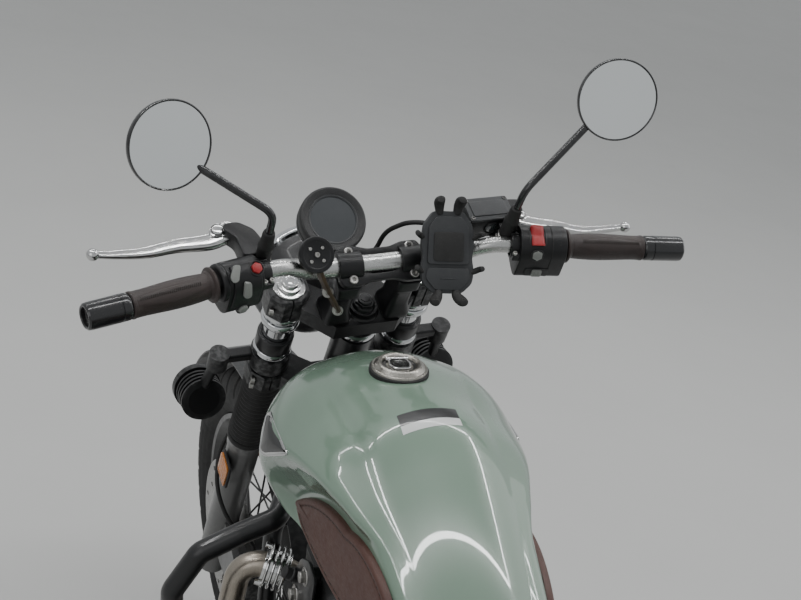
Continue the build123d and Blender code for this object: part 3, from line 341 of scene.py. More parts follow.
def math2(tree, operation, a, b, clamp=False):
    return node(tree, "ShaderNodeMath", {0: a, 1: b}, operation=operation, use_clamp=clamp).outputs[0]


def remap(tree, value, low, high, toLow, toHigh):
    return node(tree, "ShaderNodeMapRange", {"Value": value, "From Min": low, "From Max": high, "To Min": toLow,
            "To Max": toHigh}).outputs[0]


def cloudsGroup():
    # slow change of tone over the surface, and small smudges
    tree, given, out = groupWith("clouds", [("Scale", "NodeSocketFloat", 12.0),
            ("Smudge Scale", "NodeSocketFloat", 60.0)], [("Tone", "NodeSocketFloat"),
            ("Smudge", "NodeSocketFloat")])
    where = node(tree, "ShaderNodeTexCoord").outputs["Object"]
    slow = node(tree, "ShaderNodeTexNoise", {"Vector": where, "Scale": given.outputs["Scale"], "Detail": 4.0,
            "Roughness": 0.6})
    fine = node(tree, "ShaderNodeTexNoise", {"Vector": where, "Scale": given.outputs["Smudge Scale"], "Detail": 6.0,
            "Roughness": 0.7})
    tree.links.new(remap(tree, slow.outputs[0], 0.3, 0.7, 0.0, 1.0), out.inputs["Tone"])
    tree.links.new(remap(tree, fine.outputs[0], 0.45, 0.75, 0.0, 1.0), out.inputs["Smudge"])
    return tree


def grainGroup():
    # pebbled grain of leather, rubber and moulded plastic, with a crease mask that finishOf uses to paint shade
    # into the creases between the pebbles
    tree, given, out = groupWith("grain", [("Scale", "NodeSocketFloat", 900.0),
            ("Softness", "NodeSocketFloat", 0.4)], [("Height", "NodeSocketFloat"), ("Crease Shade", "NodeSocketFloat")])
    where = node(tree, "ShaderNodeTexCoord").outputs["Object"]
    bend = node(tree, "ShaderNodeTexNoise", {"Vector": where, "Scale": math2(tree, "MULTIPLY",
            given.outputs["Scale"], 0.35), "Detail": 2.0})
    shift = node(tree, "ShaderNodeVectorMath", {0: bend.outputs["Color"], "Scale": 0.0012},
            operation="SCALE").outputs[0]
    spot = node(tree, "ShaderNodeVectorMath", {0: where, 1: shift}, operation="ADD").outputs[0]
    cells = node(tree, "ShaderNodeTexVoronoi", {"Vector": spot, "Scale": given.outputs["Scale"]},
            feature="DISTANCE_TO_EDGE")
    height = remap(tree, cells.outputs["Distance"], 0.0, given.outputs["Softness"], 0.0, 1.0)
    tree.links.new(height, out.inputs["Height"])
    tree.links.new(math2(tree, "SUBTRACT", 1.0, height), out.inputs["Crease Shade"])
    return tree


def brushGroup():
    # fine lines left by turning or brushing, drawn out along one direction
    tree, given, out = groupWith("brushed lines", [("Stretch", "NodeSocketVector", (40.0, 900.0, 900.0)),
            ("Fine", "NodeSocketFloat", 1.0)], [("Line", "NodeSocketFloat")])
    where = node(tree, "ShaderNodeTexCoord").outputs["Object"]
    drawn = node(tree, "ShaderNodeVectorMath", {0: where, 1: given.outputs["Stretch"]},
            operation="MULTIPLY").outputs[0]
    lines = node(tree, "ShaderNodeTexNoise", {"Vector": drawn, "Scale": given.outputs["Fine"], "Detail": 3.0,
            "Roughness": 0.6})
    tree.links.new(lines.outputs[0], out.inputs["Line"])
    return tree


def edgeGroup():
    # rubbed edges, from how sharply the surface turns
    tree, given, out = groupWith("rubbed edges", [("Amount", "NodeSocketFloat", 0.5),
            ("Break Up", "NodeSocketFloat", 120.0)], [("Edge", "NodeSocketFloat")])
    where = node(tree, "ShaderNodeTexCoord").outputs["Object"]
    turn = node(tree, "ShaderNodeNewGeometry").outputs["Pointiness"]
    worn = remap(tree, turn, 0.54, 0.66, 0.0, 1.0)
    broken = node(tree, "ShaderNodeTexNoise", {"Vector": where, "Scale": given.outputs["Break Up"], "Detail": 4.0})
    patch = remap(tree, broken.outputs[0], 0.42, 0.62, 0.0, 1.0)
    both = math2(tree, "MULTIPLY", worn, patch)
    tree.links.new(math2(tree, "MULTIPLY", both, given.outputs["Amount"], True), out.inputs["Edge"])
    return tree


def dustGroup():
    # dust that settles where the surface looks up
    tree, given, out = groupWith("settled dust", [("Amount", "NodeSocketFloat", 0.3),
            ("Speckle", "NodeSocketFloat", 500.0)], [("Dust", "NodeSocketFloat")])
    where = node(tree, "ShaderNodeTexCoord").outputs["Object"]
    up = node(tree, "ShaderNodeSeparateXYZ",
            {0: node(tree, "ShaderNodeNewGeometry").outputs["Normal"]}).outputs["Z"]
    level = remap(tree, up, 0.1, 0.95, 0.0, 1.0)
    veil = node(tree, "ShaderNodeTexNoise", {"Vector": where, "Scale": 25.0, "Detail": 8.0, "Roughness": 0.75})
    specks = node(tree, "ShaderNodeTexNoise", {"Vector": where, "Scale": given.outputs["Speckle"], "Detail": 2.0})
    mask = math2(tree, "ADD", remap(tree, veil.outputs[0], 0.5, 0.9, 0.0, 0.25),
            remap(tree, specks.outputs[0], 0.66, 0.76, 0.0, 0.6))
    settled = math2(tree, "MULTIPLY", math2(tree, "MULTIPLY", mask, level), given.outputs["Amount"], True)
    tree.links.new(settled, out.inputs["Dust"])
    return tree


effects = {"clouds": cloudsGroup(), "grain": grainGroup(), "brush": brushGroup(), "edge": edgeGroup(),
        "dust": dustGroup()}


def placed(tree, effect, **values):
    made = tree.nodes.new("ShaderNodeGroup")
    made.node_tree = effects[effect]
    for key, value in values.items():
        made.inputs[key.replace("_", " ")].default_value = value
    return made


def mixColour(tree, share, first, second):
    made = node(tree, "ShaderNodeMix", data_type="RGBA")
    for index, value in ((0, share), (6, first), (7, second)):
        if isinstance(value, bpy.types.NodeSocket):
            tree.links.new(value, made.inputs[index])
        elif index == 0:
            made.inputs[0].default_value = value
        else:
            made.inputs[index].default_value = (*value, 1.0)
    return made.outputs[2]


def finishOf(name, colour, second=None, metal=0.0, rough=0.4, roughSpread=0.08, coat=0.0, coatRough=0.05,
        cloud=10.0, grain=None, grainDepth=0.0, brush=None, brushDepth=0.0, edge=0.0, edgeColour=(0.5, 0.5, 0.5),
        dust=0.0, dustColour=(0.42, 0.4, 0.36), sheen=0.0, orangePeel=0.0):
    material = bpy.data.materials.new(name)
    material.use_nodes = True
    tree = material.node_tree
    shader = tree.nodes["Principled BSDF"]
    clouds = placed(tree, "clouds", Scale=cloud, Smudge_Scale=cloud * 6)
    tone = mixColour(tree, clouds.outputs["Tone"], colour, second or [c * 0.8 for c in colour])
    roughness = remap(tree, clouds.outputs["Smudge"], 0.0, 1.0, rough, rough + roughSpread)
    heights = []
    if grain:
        pebbles = placed(tree, "grain", Scale=grain)
        # painted shade: colour darkened in the creases between the pebbles of the grain
        tone = mixColour(tree, math2(tree, "MULTIPLY", pebbles.outputs["Crease Shade"], 0.55), tone,
                [c * 0.35 for c in colour])
        heights.append((pebbles.outputs["Height"], grainDepth))
    if brush:
        lines = placed(tree, "brush", Stretch=brush)
        tone = mixColour(tree, remap(tree, lines.outputs["Line"], 0.3, 0.7, 0.0, 0.5), tone,
                [c * 0.6 for c in colour])
        roughness = math2(tree, "ADD", roughness, remap(tree, lines.outputs["Line"], 0.3, 0.7, -0.06, 0.08), True)
        heights.append((lines.outputs["Line"], brushDepth))
    if orangePeel:
        where = node(tree, "ShaderNodeTexCoord").outputs["Object"]
        peel = node(tree, "ShaderNodeTexNoise", {"Vector": where, "Scale": 260.0, "Detail": 1.0})
        heights.append((peel.outputs[0], orangePeel))
    if edge:
        worn = placed(tree, "edge", Amount=edge)
        tone = mixColour(tree, worn.outputs["Edge"], tone, edgeColour)
    if dust:
        settled = placed(tree, "dust", Amount=dust)
        tone = mixColour(tree, settled.outputs["Dust"], tone, dustColour)
        roughness = math2(tree, "ADD", roughness, math2(tree, "MULTIPLY", settled.outputs["Dust"], 0.5), True)
    tree.links.new(tone, shader.inputs["Base Color"])
    tree.links.new(roughness, shader.inputs["Roughness"])
    shader.inputs["Metallic"].default_value = metal
    shader.inputs["Coat Weight"].default_value = coat
    shader.inputs["Coat Roughness"].default_value = coatRough
    if sheen:
        shader.inputs["Sheen Weight"].default_value = sheen
        shader.inputs["Sheen Roughness"].default_value = 0.5
    normal = None
    for height, depth in heights:
        bump = node(tree, "ShaderNodeBump", {"Height": height, "Strength": 1.0, "Distance": depth * 0.001})
        if normal is not None:
            tree.links.new(normal, bump.inputs["Normal"])
        normal = bump.outputs["Normal"]
    if normal is not None:
        tree.links.new(normal, shader.inputs["Normal"])
    return material


finishes = {
    "tankPaint": finishOf("sage green paint", (0.165, 0.243, 0.182), (0.152, 0.228, 0.17), rough=0.22,
    roughSpread=0.06, coat=1.0,
                          coatRough=0.03, cloud=4.0, orangePeel=0.02, dust=0.1),
    "frameBlack": finishOf("satin black powder", (0.008, 0.008, 0.009), (0.012, 0.012, 0.013), rough=0.36,
    roughSpread=0.12, coat=0.2,
                           cloud=18.0, grain=1500.0, grainDepth=0.012, edge=0.3, edgeColour=(0.1, 0.1, 0.1),
                           dust=0.12),
    "barBlack": finishOf("satin black bar end", (0.009, 0.009, 0.01), (0.014, 0.014, 0.015), rough=0.2,
    roughSpread=0.1, coat=0.4,
                         cloud=30.0, edge=0.4, edgeColour=(0.2, 0.2, 0.2), dust=0.15),
    "machinedBlack": finishOf("black anodised", (0.007, 0.007, 0.008), (0.011, 0.011, 0.012), metal=0.2, rough=0.34,
    roughSpread=0.1,
                              cloud=30.0, grain=2200.0, grainDepth=0.03, edge=0.45, edgeColour=(0.16, 0.16, 0.16),
                              dust=0.22),
    "mouldedBlack": finishOf("moulded black plastic", (0.016, 0.016, 0.017), (0.022, 0.022, 0.023), rough=0.5,
    roughSpread=0.12, cloud=25.0,
                             grain=1900.0, grainDepth=0.05, edge=0.25, edgeColour=(0.1, 0.1, 0.1), dust=0.3),
    "mouldedGrey": finishOf("dark grey plastic", (0.03, 0.032, 0.035), (0.04, 0.042, 0.045), rough=0.48,
    roughSpread=0.1, cloud=25.0,
                            grain=1700.0, grainDepth=0.05, edge=0.3, edgeColour=(0.14, 0.14, 0.14), dust=0.25),
    "rubber": finishOf("black rubber", (0.012, 0.012, 0.012), (0.022, 0.021, 0.02), rough=0.62, roughSpread=0.15,
    cloud=14.0, grain=1400.0,
                       grainDepth=0.06, dust=0.35),
    "tyreRubber": finishOf("tyre rubber", (0.014, 0.014, 0.014), (0.03, 0.029, 0.028), rough=0.7, roughSpread=0.15,
    cloud=9.0, grain=1100.0,
                           grainDepth=0.08, dust=0.5),
    "gripLeather": finishOf("brown black grip leather", (0.028, 0.019, 0.017), (0.045, 0.026, 0.022), rough=0.42,
    roughSpread=0.14, cloud=26.0,
                            grain=1300.0, grainDepth=0.12, edge=0.3, edgeColour=(0.12, 0.08, 0.07), sheen=0.05),
    "padLeather": finishOf("brown grained pad", (0.115, 0.045, 0.031), (0.075, 0.028, 0.02), rough=0.46,
    roughSpread=0.14, cloud=14.0,
                           brush=(900.0, 90.0, 420.0), brushDepth=0.25, grain=520.0, grainDepth=0.06, edge=0.2,
                           edgeColour=(0.2, 0.1, 0.07)),
    "seatLeather": finishOf("brown seat leather", (0.105, 0.043, 0.024), (0.065, 0.026, 0.015), rough=0.45,
    roughSpread=0.16, cloud=9.0,
                            grain=620.0, grainDepth=0.3, edge=0.3, edgeColour=(0.22, 0.11, 0.07), dust=0.12,
                            sheen=0.08),
    "polished": finishOf("polished aluminium", (0.74, 0.74, 0.73), (0.62, 0.62, 0.62), metal=1.0, rough=0.12,
    roughSpread=0.14, cloud=22.0,
                         brush=(60.0, 700.0, 700.0), brushDepth=0.01, dust=0.12),
    "brushedBar": finishOf("satin aluminium bar", (0.64, 0.64, 0.63), (0.52, 0.52, 0.51), metal=1.0, rough=0.26,
    roughSpread=0.12, cloud=20.0,
                           brush=(30.0, 900.0, 900.0), brushDepth=0.02, dust=0.12),
    "chrome": finishOf("chrome", (0.72, 0.73, 0.74), (0.6, 0.61, 0.62), metal=1.0, rough=0.06, roughSpread=0.1,
    cloud=30.0, dust=0.1),
    "capNickel": finishOf("satin nickel", (0.5, 0.48, 0.44), (0.4, 0.38, 0.34), metal=1.0, rough=0.28,
    roughSpread=0.1, cloud=40.0,
                          brush=(1200.0, 60.0, 1200.0), brushDepth=0.01, dust=0.1),
    "darkSteel": finishOf("dark steel", (0.16, 0.155, 0.15), (0.1, 0.1, 0.1), metal=0.9, rough=0.36,
    roughSpread=0.12, cloud=40.0, edge=0.4,
                          edgeColour=(0.4, 0.4, 0.4), dust=0.25),
    "zincSteel": finishOf("plated steel", (0.55, 0.54, 0.52), (0.38, 0.37, 0.35), metal=1.0, rough=0.3,
    roughSpread=0.14, cloud=60.0, dust=0.2),
    "heatedSteel": finishOf("heated exhaust steel", (0.47, 0.43, 0.375), (0.35, 0.3, 0.245), metal=1.0, rough=0.3,
    roughSpread=0.12, cloud=13.0,
                            brush=(700.0, 700.0, 60.0), brushDepth=0.02, dust=0.15),
    "sliderGrey": finishOf("grey fork paint", (0.13, 0.13, 0.128), (0.1, 0.1, 0.098), rough=0.36, roughSpread=0.1,
    coat=0.3, cloud=12.0,
                           grain=1500.0, grainDepth=0.02, edge=0.4, edgeColour=(0.4, 0.4, 0.4), dust=0.35),
    "castBlack": finishOf("black cast engine", (0.018, 0.018, 0.018), (0.026, 0.026, 0.026), rough=0.48,
    roughSpread=0.12, cloud=16.0, grain=900.0,
                          grainDepth=0.04, edge=0.4, edgeColour=(0.2, 0.2, 0.2), dust=0.15),
    "wheelBlack": finishOf("black wheel enamel", (0.015, 0.015, 0.015), (0.022, 0.022, 0.022), rough=0.3,
    roughSpread=0.12, coat=0.3, cloud=16.0,
                           edge=0.3, edgeColour=(0.15, 0.15, 0.15), dust=0.35),
    "discSteel": finishOf("brake disc steel", (0.45, 0.45, 0.44), (0.34, 0.33, 0.32), metal=1.0, rough=0.3,
    roughSpread=0.12, cloud=24.0,
                          brush=(900.0, 260.0, 260.0), brushDepth=0.02, dust=0.12),
    "mirrorGlass": finishOf("mirror glass", (0.82, 0.84, 0.84), (0.8, 0.82, 0.82), metal=1.0, rough=0.015,
    roughSpread=0.01, cloud=5.0),
    "switchRed": finishOf("red switch", (0.42, 0.012, 0.014), (0.36, 0.01, 0.012), rough=0.36, roughSpread=0.1,
    cloud=60.0, grain=2400.0,
                          grainDepth=0.03, edge=0.3, edgeColour=(0.6, 0.2, 0.2)),
    "switchGrey": finishOf("grey switch", (0.3, 0.31, 0.29), (0.24, 0.25, 0.235), rough=0.42, roughSpread=0.12,
    cloud=60.0, grain=2400.0,
                           grainDepth=0.03, edge=0.3, edgeColour=(0.45, 0.45, 0.45)),
    "stitching": finishOf("dark thread", (0.02, 0.016, 0.014), (0.035, 0.028, 0.024), rough=0.6, roughSpread=0.2,
    cloud=300.0),
    "bronzeBlack": finishOf("worn bronze black", (0.035, 0.026, 0.018), (0.085, 0.058, 0.034), metal=0.6,
    rough=0.42, roughSpread=0.14,
                            cloud=38.0, edge=0.6, edgeColour=(0.3, 0.22, 0.14), dust=0.1),
    "amberLens": finishOf("amber reflector", (0.75, 0.25, 0.02), (0.6, 0.18, 0.015), rough=0.18, roughSpread=0.08,
    coat=0.6, cloud=80.0,
                          grain=420.0, grainDepth=0.25),
    "redLens": finishOf("red lamp lens", (0.45, 0.01, 0.008), (0.36, 0.008, 0.006), rough=0.16, roughSpread=0.06,
    coat=0.8, cloud=60.0,
                        grain=260.0, grainDepth=0.2),
    "labelDark": finishOf("blank label black", (0.012, 0.012, 0.013), (0.02, 0.02, 0.02), rough=0.3,
    roughSpread=0.1, cloud=60.0, coat=0.3),
    "labelLight": finishOf("blank label white", (0.62, 0.63, 0.62), (0.55, 0.56, 0.55), rough=0.32, roughSpread=0.1,
    cloud=60.0, coat=0.3),
}
print("stage: materials")


def glassOf(name, colour, rough):
    material = bpy.data.materials.new(name)
    material.use_nodes = True
    tree = material.node_tree
    shader = tree.nodes["Principled BSDF"]
    clouds = placed(tree, "clouds", Scale=20.0, Smudge_Scale=120.0)
    tree.links.new(mixColour(tree, clouds.outputs["Tone"], colour, [c * 0.92 for c in colour]),
            shader.inputs["Base Color"])
    tree.links.new(remap(tree, clouds.outputs["Smudge"], 0.0, 1.0, rough, rough + 0.05), shader.inputs["Roughness"])
    shader.inputs["Transmission Weight"].default_value = 1.0
    shader.inputs["IOR"].default_value = 1.47
    return material


finishes["lampGlass"] = glassOf("lamp glass", (0.92, 0.94, 0.94), 0.03)
finishes["dialGlass"] = finishOf("dark dial glass", (0.03, 0.034, 0.038), (0.038, 0.042, 0.046), rough=0.12,
        roughSpread=0.1, coat=1.0, coatRough=0.06, cloud=30.0)

# finish of each piece that comes straight from the frame
nodeFinish = {
    "tankPaint": ["tank", "side_covers"],
    "frameBlack": ["frame", "swingarm", "crash_bar", "side_stand", "footpegs", "front_fender", "rear_fender",
                   "headlamp", "shock_springs"],
    "machinedBlack": ["yokes", "bar_clamps", "aux_lamps", "mirror_arms", "lever_perches", "ignition_lock"],
    "castBlack": ["engine_cases", "cylinders", "engine_covers", "front_caliper"],
    "polished": ["levers"],
    "capNickel": ["filler_cap"],
    "brushedBar": ["handlebar"],
    "heatedSteel": ["exhaust"],
    "discSteel": ["front_disc", "rear_disc"],
    "darkSteel": ["chain"],
    "sliderGrey": ["fork_legs"],
    "chrome": ["fork_tubes", "shocks"],
    "wheelBlack": ["front_wheel", "rear_wheel"],
    "tyreRubber": ["front_tyre", "rear_tyre"],
    "rubber": ["fork_gaiters", "cables"],
    "mouldedBlack": ["switchgear", "gauge", "intakes"],
    "mouldedGrey": ["bar_accessories"],
    "barBlack": ["bar_ends"],
    "gripLeather": ["grips"],
    "seatLeather": ["seat"],
    "padLeather": ["knee_pads"],
    "mirrorGlass": ["mirror_glass"],
    "lampGlass": ["headlamp_glass"],
    "redLens": ["tail_lamp"],
}
for finish, names in nodeFinish.items():
    for name in names:
        if name in cadNodes:
            cadNodes[name].data.materials.clear()
            cadNodes[name].data.materials.append(finishes[finish])
            softShade(cadNodes[name].data, 32.0)
print("stage: frame nodes finished")

# camera, from a fit of the photograph in the upright motorcycle's own millimetres
cameraFit = {"spot": (-578.8, -1402.0, 1837.5), "yaw": -20.0, "pitch": 24.8, "roll": -7.4, "focal": 1445.0,
        "width": 801.0}


def addCamera():
    yaw, pitch, roll = (math.radians(cameraFit[k]) for k in ("yaw", "pitch", "roll"))
    ahead = Vector((-math.sin(yaw) * math.cos(pitch), math.cos(yaw) * math.cos(pitch), -math.sin(pitch)))
    right = ahead.cross(Vector((0, 0, 1))).normalized()
    up = right.cross(ahead)
    right, up = right * math.cos(roll) - up * math.sin(roll), up * math.cos(roll) + right * math.sin(roll)
    turn = Matrix((right, up, -ahead)).transposed()
    data = bpy.data.cameras.new("camera")
    data.sensor_fit = "HORIZONTAL"
    data.sensor_width = 36.0
    data.lens = cameraFit["focal"] / cameraFit["width"] * 36.0
    data.clip_end = 100.0
    camera = bpy.data.objects.new("camera", data)
    bpy.context.scene.collection.objects.link(camera)
    spot = bike @ Vector(cameraFit["spot"])
    camera.matrix_world = Matrix.Translation(spot) @ (bike.to_3x3() * 1000.0 @ turn).to_4x4()
    bpy.context.scene.camera = camera


addCamera()

studio = {
    "floor": (0.5, 0.5, 0.49), "sky": (0.72, 0.74, 0.75), "skyStrength": 0.75,
    # a frame of four strips over the motorcycle and two weak soft boxes: name, place, aim, size, power
    "lights": [("stripFront", (0.1, 0.05, 3.2), (0.1, 0.05, 0.0), (4.5, 0.07), 34.0),
               ("stripBack", (0.1, 2.0, 3.2), (0.1, 2.0, 0.0), (4.5, 0.07), 34.0),
               ("stripLeft", (-2.2, 1.0, 3.2), (-2.2, 1.0, 0.0), (0.07, 1.9), 15.0),
               ("stripRight", (2.4, 1.0, 3.2), (2.4, 1.0, 0.0), (0.07, 1.9), 15.0),
               ("softLeft", (-3.4, -2.6, 2.6), (0.0, 0.0, 0.7), (3.0, 3.0), 30.0),
               ("softRight", (3.6, 0.4, 2.4), (0.0, 0.2, 0.7), (3.0, 3.0), 22.0)],
}


def addStudio():
    mesh = newMesh()
    block(mesh, (24.0, 24.0, 0.02), moved(0, 0, -0.0101))
    data = bpy.data.meshes.new("floor")
    mesh.to_mesh(data)
    mesh.free()
    floor = bpy.data.objects.new("floor", data)
    bpy.context.scene.collection.objects.link(floor)
    data.materials.append(finishOf("pale floor", studio["floor"], [c * 0.96 for c in studio["floor"]], rough=0.55,
            cloud=1.5))
    world = bpy.data.worlds.new("studio")
    bpy.context.scene.world = world
    world.use_nodes = True
    back = world.node_tree.nodes["Background"]
    back.inputs["Color"].default_value = (*studio["sky"], 1.0)
    back.inputs["Strength"].default_value = studio["skyStrength"]
    for name, spot, aim, size, power in studio["lights"]:
        lamp = bpy.data.lights.new(name, "AREA")
        lamp.shape = "RECTANGLE"
        lamp.size, lamp.size_y = size
        lamp.energy = power
        holder = bpy.data.objects.new(name, lamp)
        bpy.context.scene.collection.objects.link(holder)
        holder.location = spot
        holder.rotation_euler = (Vector(aim) - Vector(spot)).to_track_quat("-Z", "Y").to_euler()


addStudio()
print("stage: camera and studio")

# handlebar ends, in a frame along the right grip: X forward, Y up, Z outwards
barLine = {"inner": (186.0, -30.0, 148.0), "way": (224.0, -48.0, 15.0)}
alongBar = facing(barLine["inner"], barLine["way"])


def aroundBar(radius, degrees, z):
    a = math.radians(degrees)
    return alongBar @ Vector((radius * math.cos(a), radius * math.sin(a), z))


def arcAround(radius, first, last, steps):
    return [(radius * math.cos(math.radians(first + (last - first) * i / steps)),
            radius * math.sin(math.radians(first + (last - first) * i / steps))) for i in range(steps + 1)]


gripSizes = {"from": 64.8, "to": 177.4, "flange": 23.0, "neck": 16.6, "belly": 18.4, "tail": 16.8, "stitches": 30,
        "seamAngle": 108.0}


def gripRadius(t):
    g = gripSizes
    swell = math.sin(math.pi * min(1.0, t * 1.15) ** 0.8) ** 1.2
    return g["neck"] + (g["belly"] - g["neck"]) * swell + (g["tail"] - g["neck"]) * t


def addGrips():
    g = gripSizes
    mesh = newMesh()
    first, last, flange = g["from"], g["to"], g["flange"]
    profile = [(12.0, first), (flange - 1.2, first), (flange, first + 1.2), (flange, first + 3.2),
            (flange - 1.2, first + 4.4), (g["neck"] + 2.4, first + 5.5), (g["neck"], first + 9.0)]
    for i in range(1, 15):
        t = i / 15
        z = first + 9.0 + (last - 5.0 - first - 9.0) * t
        profile.append((gripRadius(t), z))
    tail = g["tail"]
    profile += [(tail, last - 5.0), (tail + 0.7, last - 3.6), (tail + 0.7, last - 1.2), (tail - 0.6, last),
            (12.0, last)]
    lathe(mesh, profile, alongBar, 72)
    # raised oval panel on the side towards the rider, sunk a little at its seam
    for vert in mesh.verts:
        spot = alongBar.inverted() @ vert.co
        angle = math.degrees(math.atan2(spot.y, spot.x)) - g["seamAngle"] - 16
        along = (spot.z - (first + 62)) / 48
        inside = (angle / 34) ** 2 + along ** 2
        radius = math.hypot(spot.x, spot.y)
        if inside < 1.35 and 15 < radius < 20 and spot.z < last - 8:
            lift = 0.7 if inside < 0.86 else -0.5 * math.exp(-((inside - 1.0) / 0.14) ** 2)
            spot.x *= 1 + lift / radius
            spot.y *= 1 + lift / radius
            vert.co = alongBar @ spot
    piece("gripSleeves", withMirror(mesh), "gripLeather", "steering", replaces=["grips"])
    thread = newMesh()
    for i in range(g["stitches"]):
        z = first + 22 + i * 2.75
        t = (z - first - 9.0) / (last - 5.0 - first - 9.0)
        radius = gripRadius(t) + 0.75
        steps = []
        for k in range(5):
            lift = radius + (0.55 if 0 < k < 4 else -0.5)
            steps.append(aroundBar(lift, g["seamAngle"] - 6 + 4 * k, z + 0.3 * k))
        sweepAlong(thread, steps, disc(0.55, 6))
    piece("gripStitches", withMirror(thread), "stitching", "steering")


addGrips()

endSizes = {"from": 177.9, "to": 235.4, "radius": 17.4, "collar": 12.0, "socket": 12.0, "depth": 9.0}


def addBarEnds():
    e = endSizes
    mesh = newMesh()
    lathe(mesh, [(11.6, e["from"]), (15.2, e["from"]), (16.2, e["from"] + 1.0),
            (e["radius"] - 0.3, e["from"] + 2.5), (e["radius"], e["from"] + 5.0),
            (e["radius"], e["from"] + e["collar"]), (e["radius"] - 0.9, e["from"] + e["collar"] + 0.6),
            (e["radius"] - 0.9, e["from"] + e["collar"] + 1.8), (e["radius"] + 0.1, e["from"] + e["collar"] + 2.4),
            (e["radius"], e["to"] - 7.0), (e["radius"] - 0.6, e["to"] - 2.2), (e["radius"] - 2.6, e["to"]),
            (e["socket"] + 1.2, e["to"]), (e["socket"], e["to"] - 1.2), (e["socket"] - 1.0, e["to"] - e["depth"]),
            (6.6, e["to"] - e["depth"]), (6.2, e["to"] - e["depth"] + 3.4), (3.6, e["to"] - e["depth"] + 3.4),
            (3.4, e["to"] - e["depth"] + 0.6), (0, e["to"] - e["depth"] + 0.6)], alongBar, 64)
    piece("barEndWeights", withMirror(mesh), "barBlack", "steering", replaces=["bar_ends"])


addBarEnds()

rightSwitch = {"from": -3.0, "to": 62.0, "radius": 27.5, "rocker": 103.0, "start": 160.0}
leftSwitch = {"from": 3.0, "to": 60.0, "radius": 25.0}
flip = Matrix.Scale(-1, 4, (1, 0, 0))


def onDrum(side, z, angle, radius):
    spot = Matrix.Translation(Vector((radius * math.cos(math.radians(angle)),
            radius * math.sin(math.radians(angle)), z)))
    made = alongBar @ spot @ turned(z=angle) @ turned(y=90)
    return (flip @ made) if side < 0 else made


def addRightSwitch():
    s = rightSwitch
    r = s["radius"]
    lower = [(-r, -16), (-r + 0.5, -34), (-18, -41), (9, -41), (24, -26)]
    outline = arcAround(r, -25, 176, 40) + flat(lower, 6, 4, closed=False)
    body = newMesh()
    prism(body, outline, s["from"], s["to"], alongBar)
    # collar towards the grip
    lathe(body, [(12, s["to"] - 1), (r - 6, s["to"] - 1), (r - 6.5, s["to"] + 2), (12, s["to"] + 2)], alongBar, 48)
    seam = [Vector((p[0] * 1.006, p[1] * 1.006, 0)) for p in outline]
    piece("rightSwitchCase", body, "machinedBlack", "steering", bevel=1.6, replaces=["switchgear"],
            segments=3)
    groove = newMesh()
    path = [alongBar @ Vector((p.x, p.y, s["from"] + 44)) for p in seam]
    sweepAlong(groove, path, disc(0.5, 6), closed=True)
    piece("rightSwitchSeam", groove, "rubber", "steering")
    red = newMesh()
    steps = []
    # rocker bent around the drum, its two ends raised
    for i in range(15):
        t = i / 14
        angle = s["rocker"] - 28 + 56 * t
        lift = 1.6 + 3.4 * (abs(t - 0.5) * 2) ** 1.6 + (1.6 if t < 0.5 else 0.0) * (1 - t * 2)
        steps.append((angle, lift))
    edges = ((13, 2.2), (15, 0.5), (18, 0), (26, 0), (29, 0.5), (31, 2.2))
    rings = [[red.verts.new(aroundBar(r + lift - drop, angle, z - 2)) for z, drop in edges]
            for angle, lift in steps]
    skin(red, rings, around=False)
    inner = [[red.verts.new(aroundBar(r - 2, angle, z - 2)) for z in (13, 31)] for angle, lift in steps]
    for i in range(14):
        red.faces.new((rings[i][0], rings[i + 1][0], inner[i + 1][0], inner[i][0]))
        red.faces.new((rings[i][5], inner[i][1], inner[i + 1][1], rings[i + 1][5]))
    for row, low in ((rings[0], inner[0]), (rings[-1], inner[-1])):
        red.faces.new(row + [low[1], low[0]])
    piece("redRocker", red, "switchRed", "steering", bevel=0.5)
    well = newMesh()
    path = []
    for i in range(24):
        t = i / 24 * math.tau
        angle = s["rocker"] + 31 * max(-1, min(1, 1.25 * math.cos(t)))
        path.append(aroundBar(r + 0.2, angle, 20 + 11.5 * max(-1, min(1, 1.25 * math.sin(t)))))
    sweepAlong(well, path, disc(0.9, 8), closed=True)
    lathe(well, [(9.4, -0.5), (9.4, 1.2), (8.4, 1.6), (7.8, 1.2), (7.8, -0.5)], onDrum(1, 20, s["start"], r), 32)
    piece("switchWells", well, "mouldedBlack", "steering")
    grey = newMesh()
    prism(grey, disc(7.6, 6), -2, 2.6, onDrum(1, 20, s["start"], r) @ turned(z=90))
    lathe(grey, [(0, 2.2), (4.2, 2.2), (5.2, 2.8), (5.6, 2.6)], onDrum(1, 20, s["start"], r), 24)
    lower = alongBar @ moved(-r - 0.4, -24, 26) @ turned(y=-90)
    prism(grey, oblong(7, 6, 2.5, 4), -1, 3.4, lower)
    for k in range(3):
        block(grey, (1.2, 9, 1.2), lower @ moved(-3 + 3 * k, 0, 3.6))
    piece("greyButtonsRight", grey, "switchGrey", "steering", bevel=0.6)
    track = newMesh()
    prism(track, oblong(17, 7.5, 3, 4), -1.2, 0.5, lower)
    piece("sliderTrack", track, "mouldedBlack", "steering", bevel=0.3)


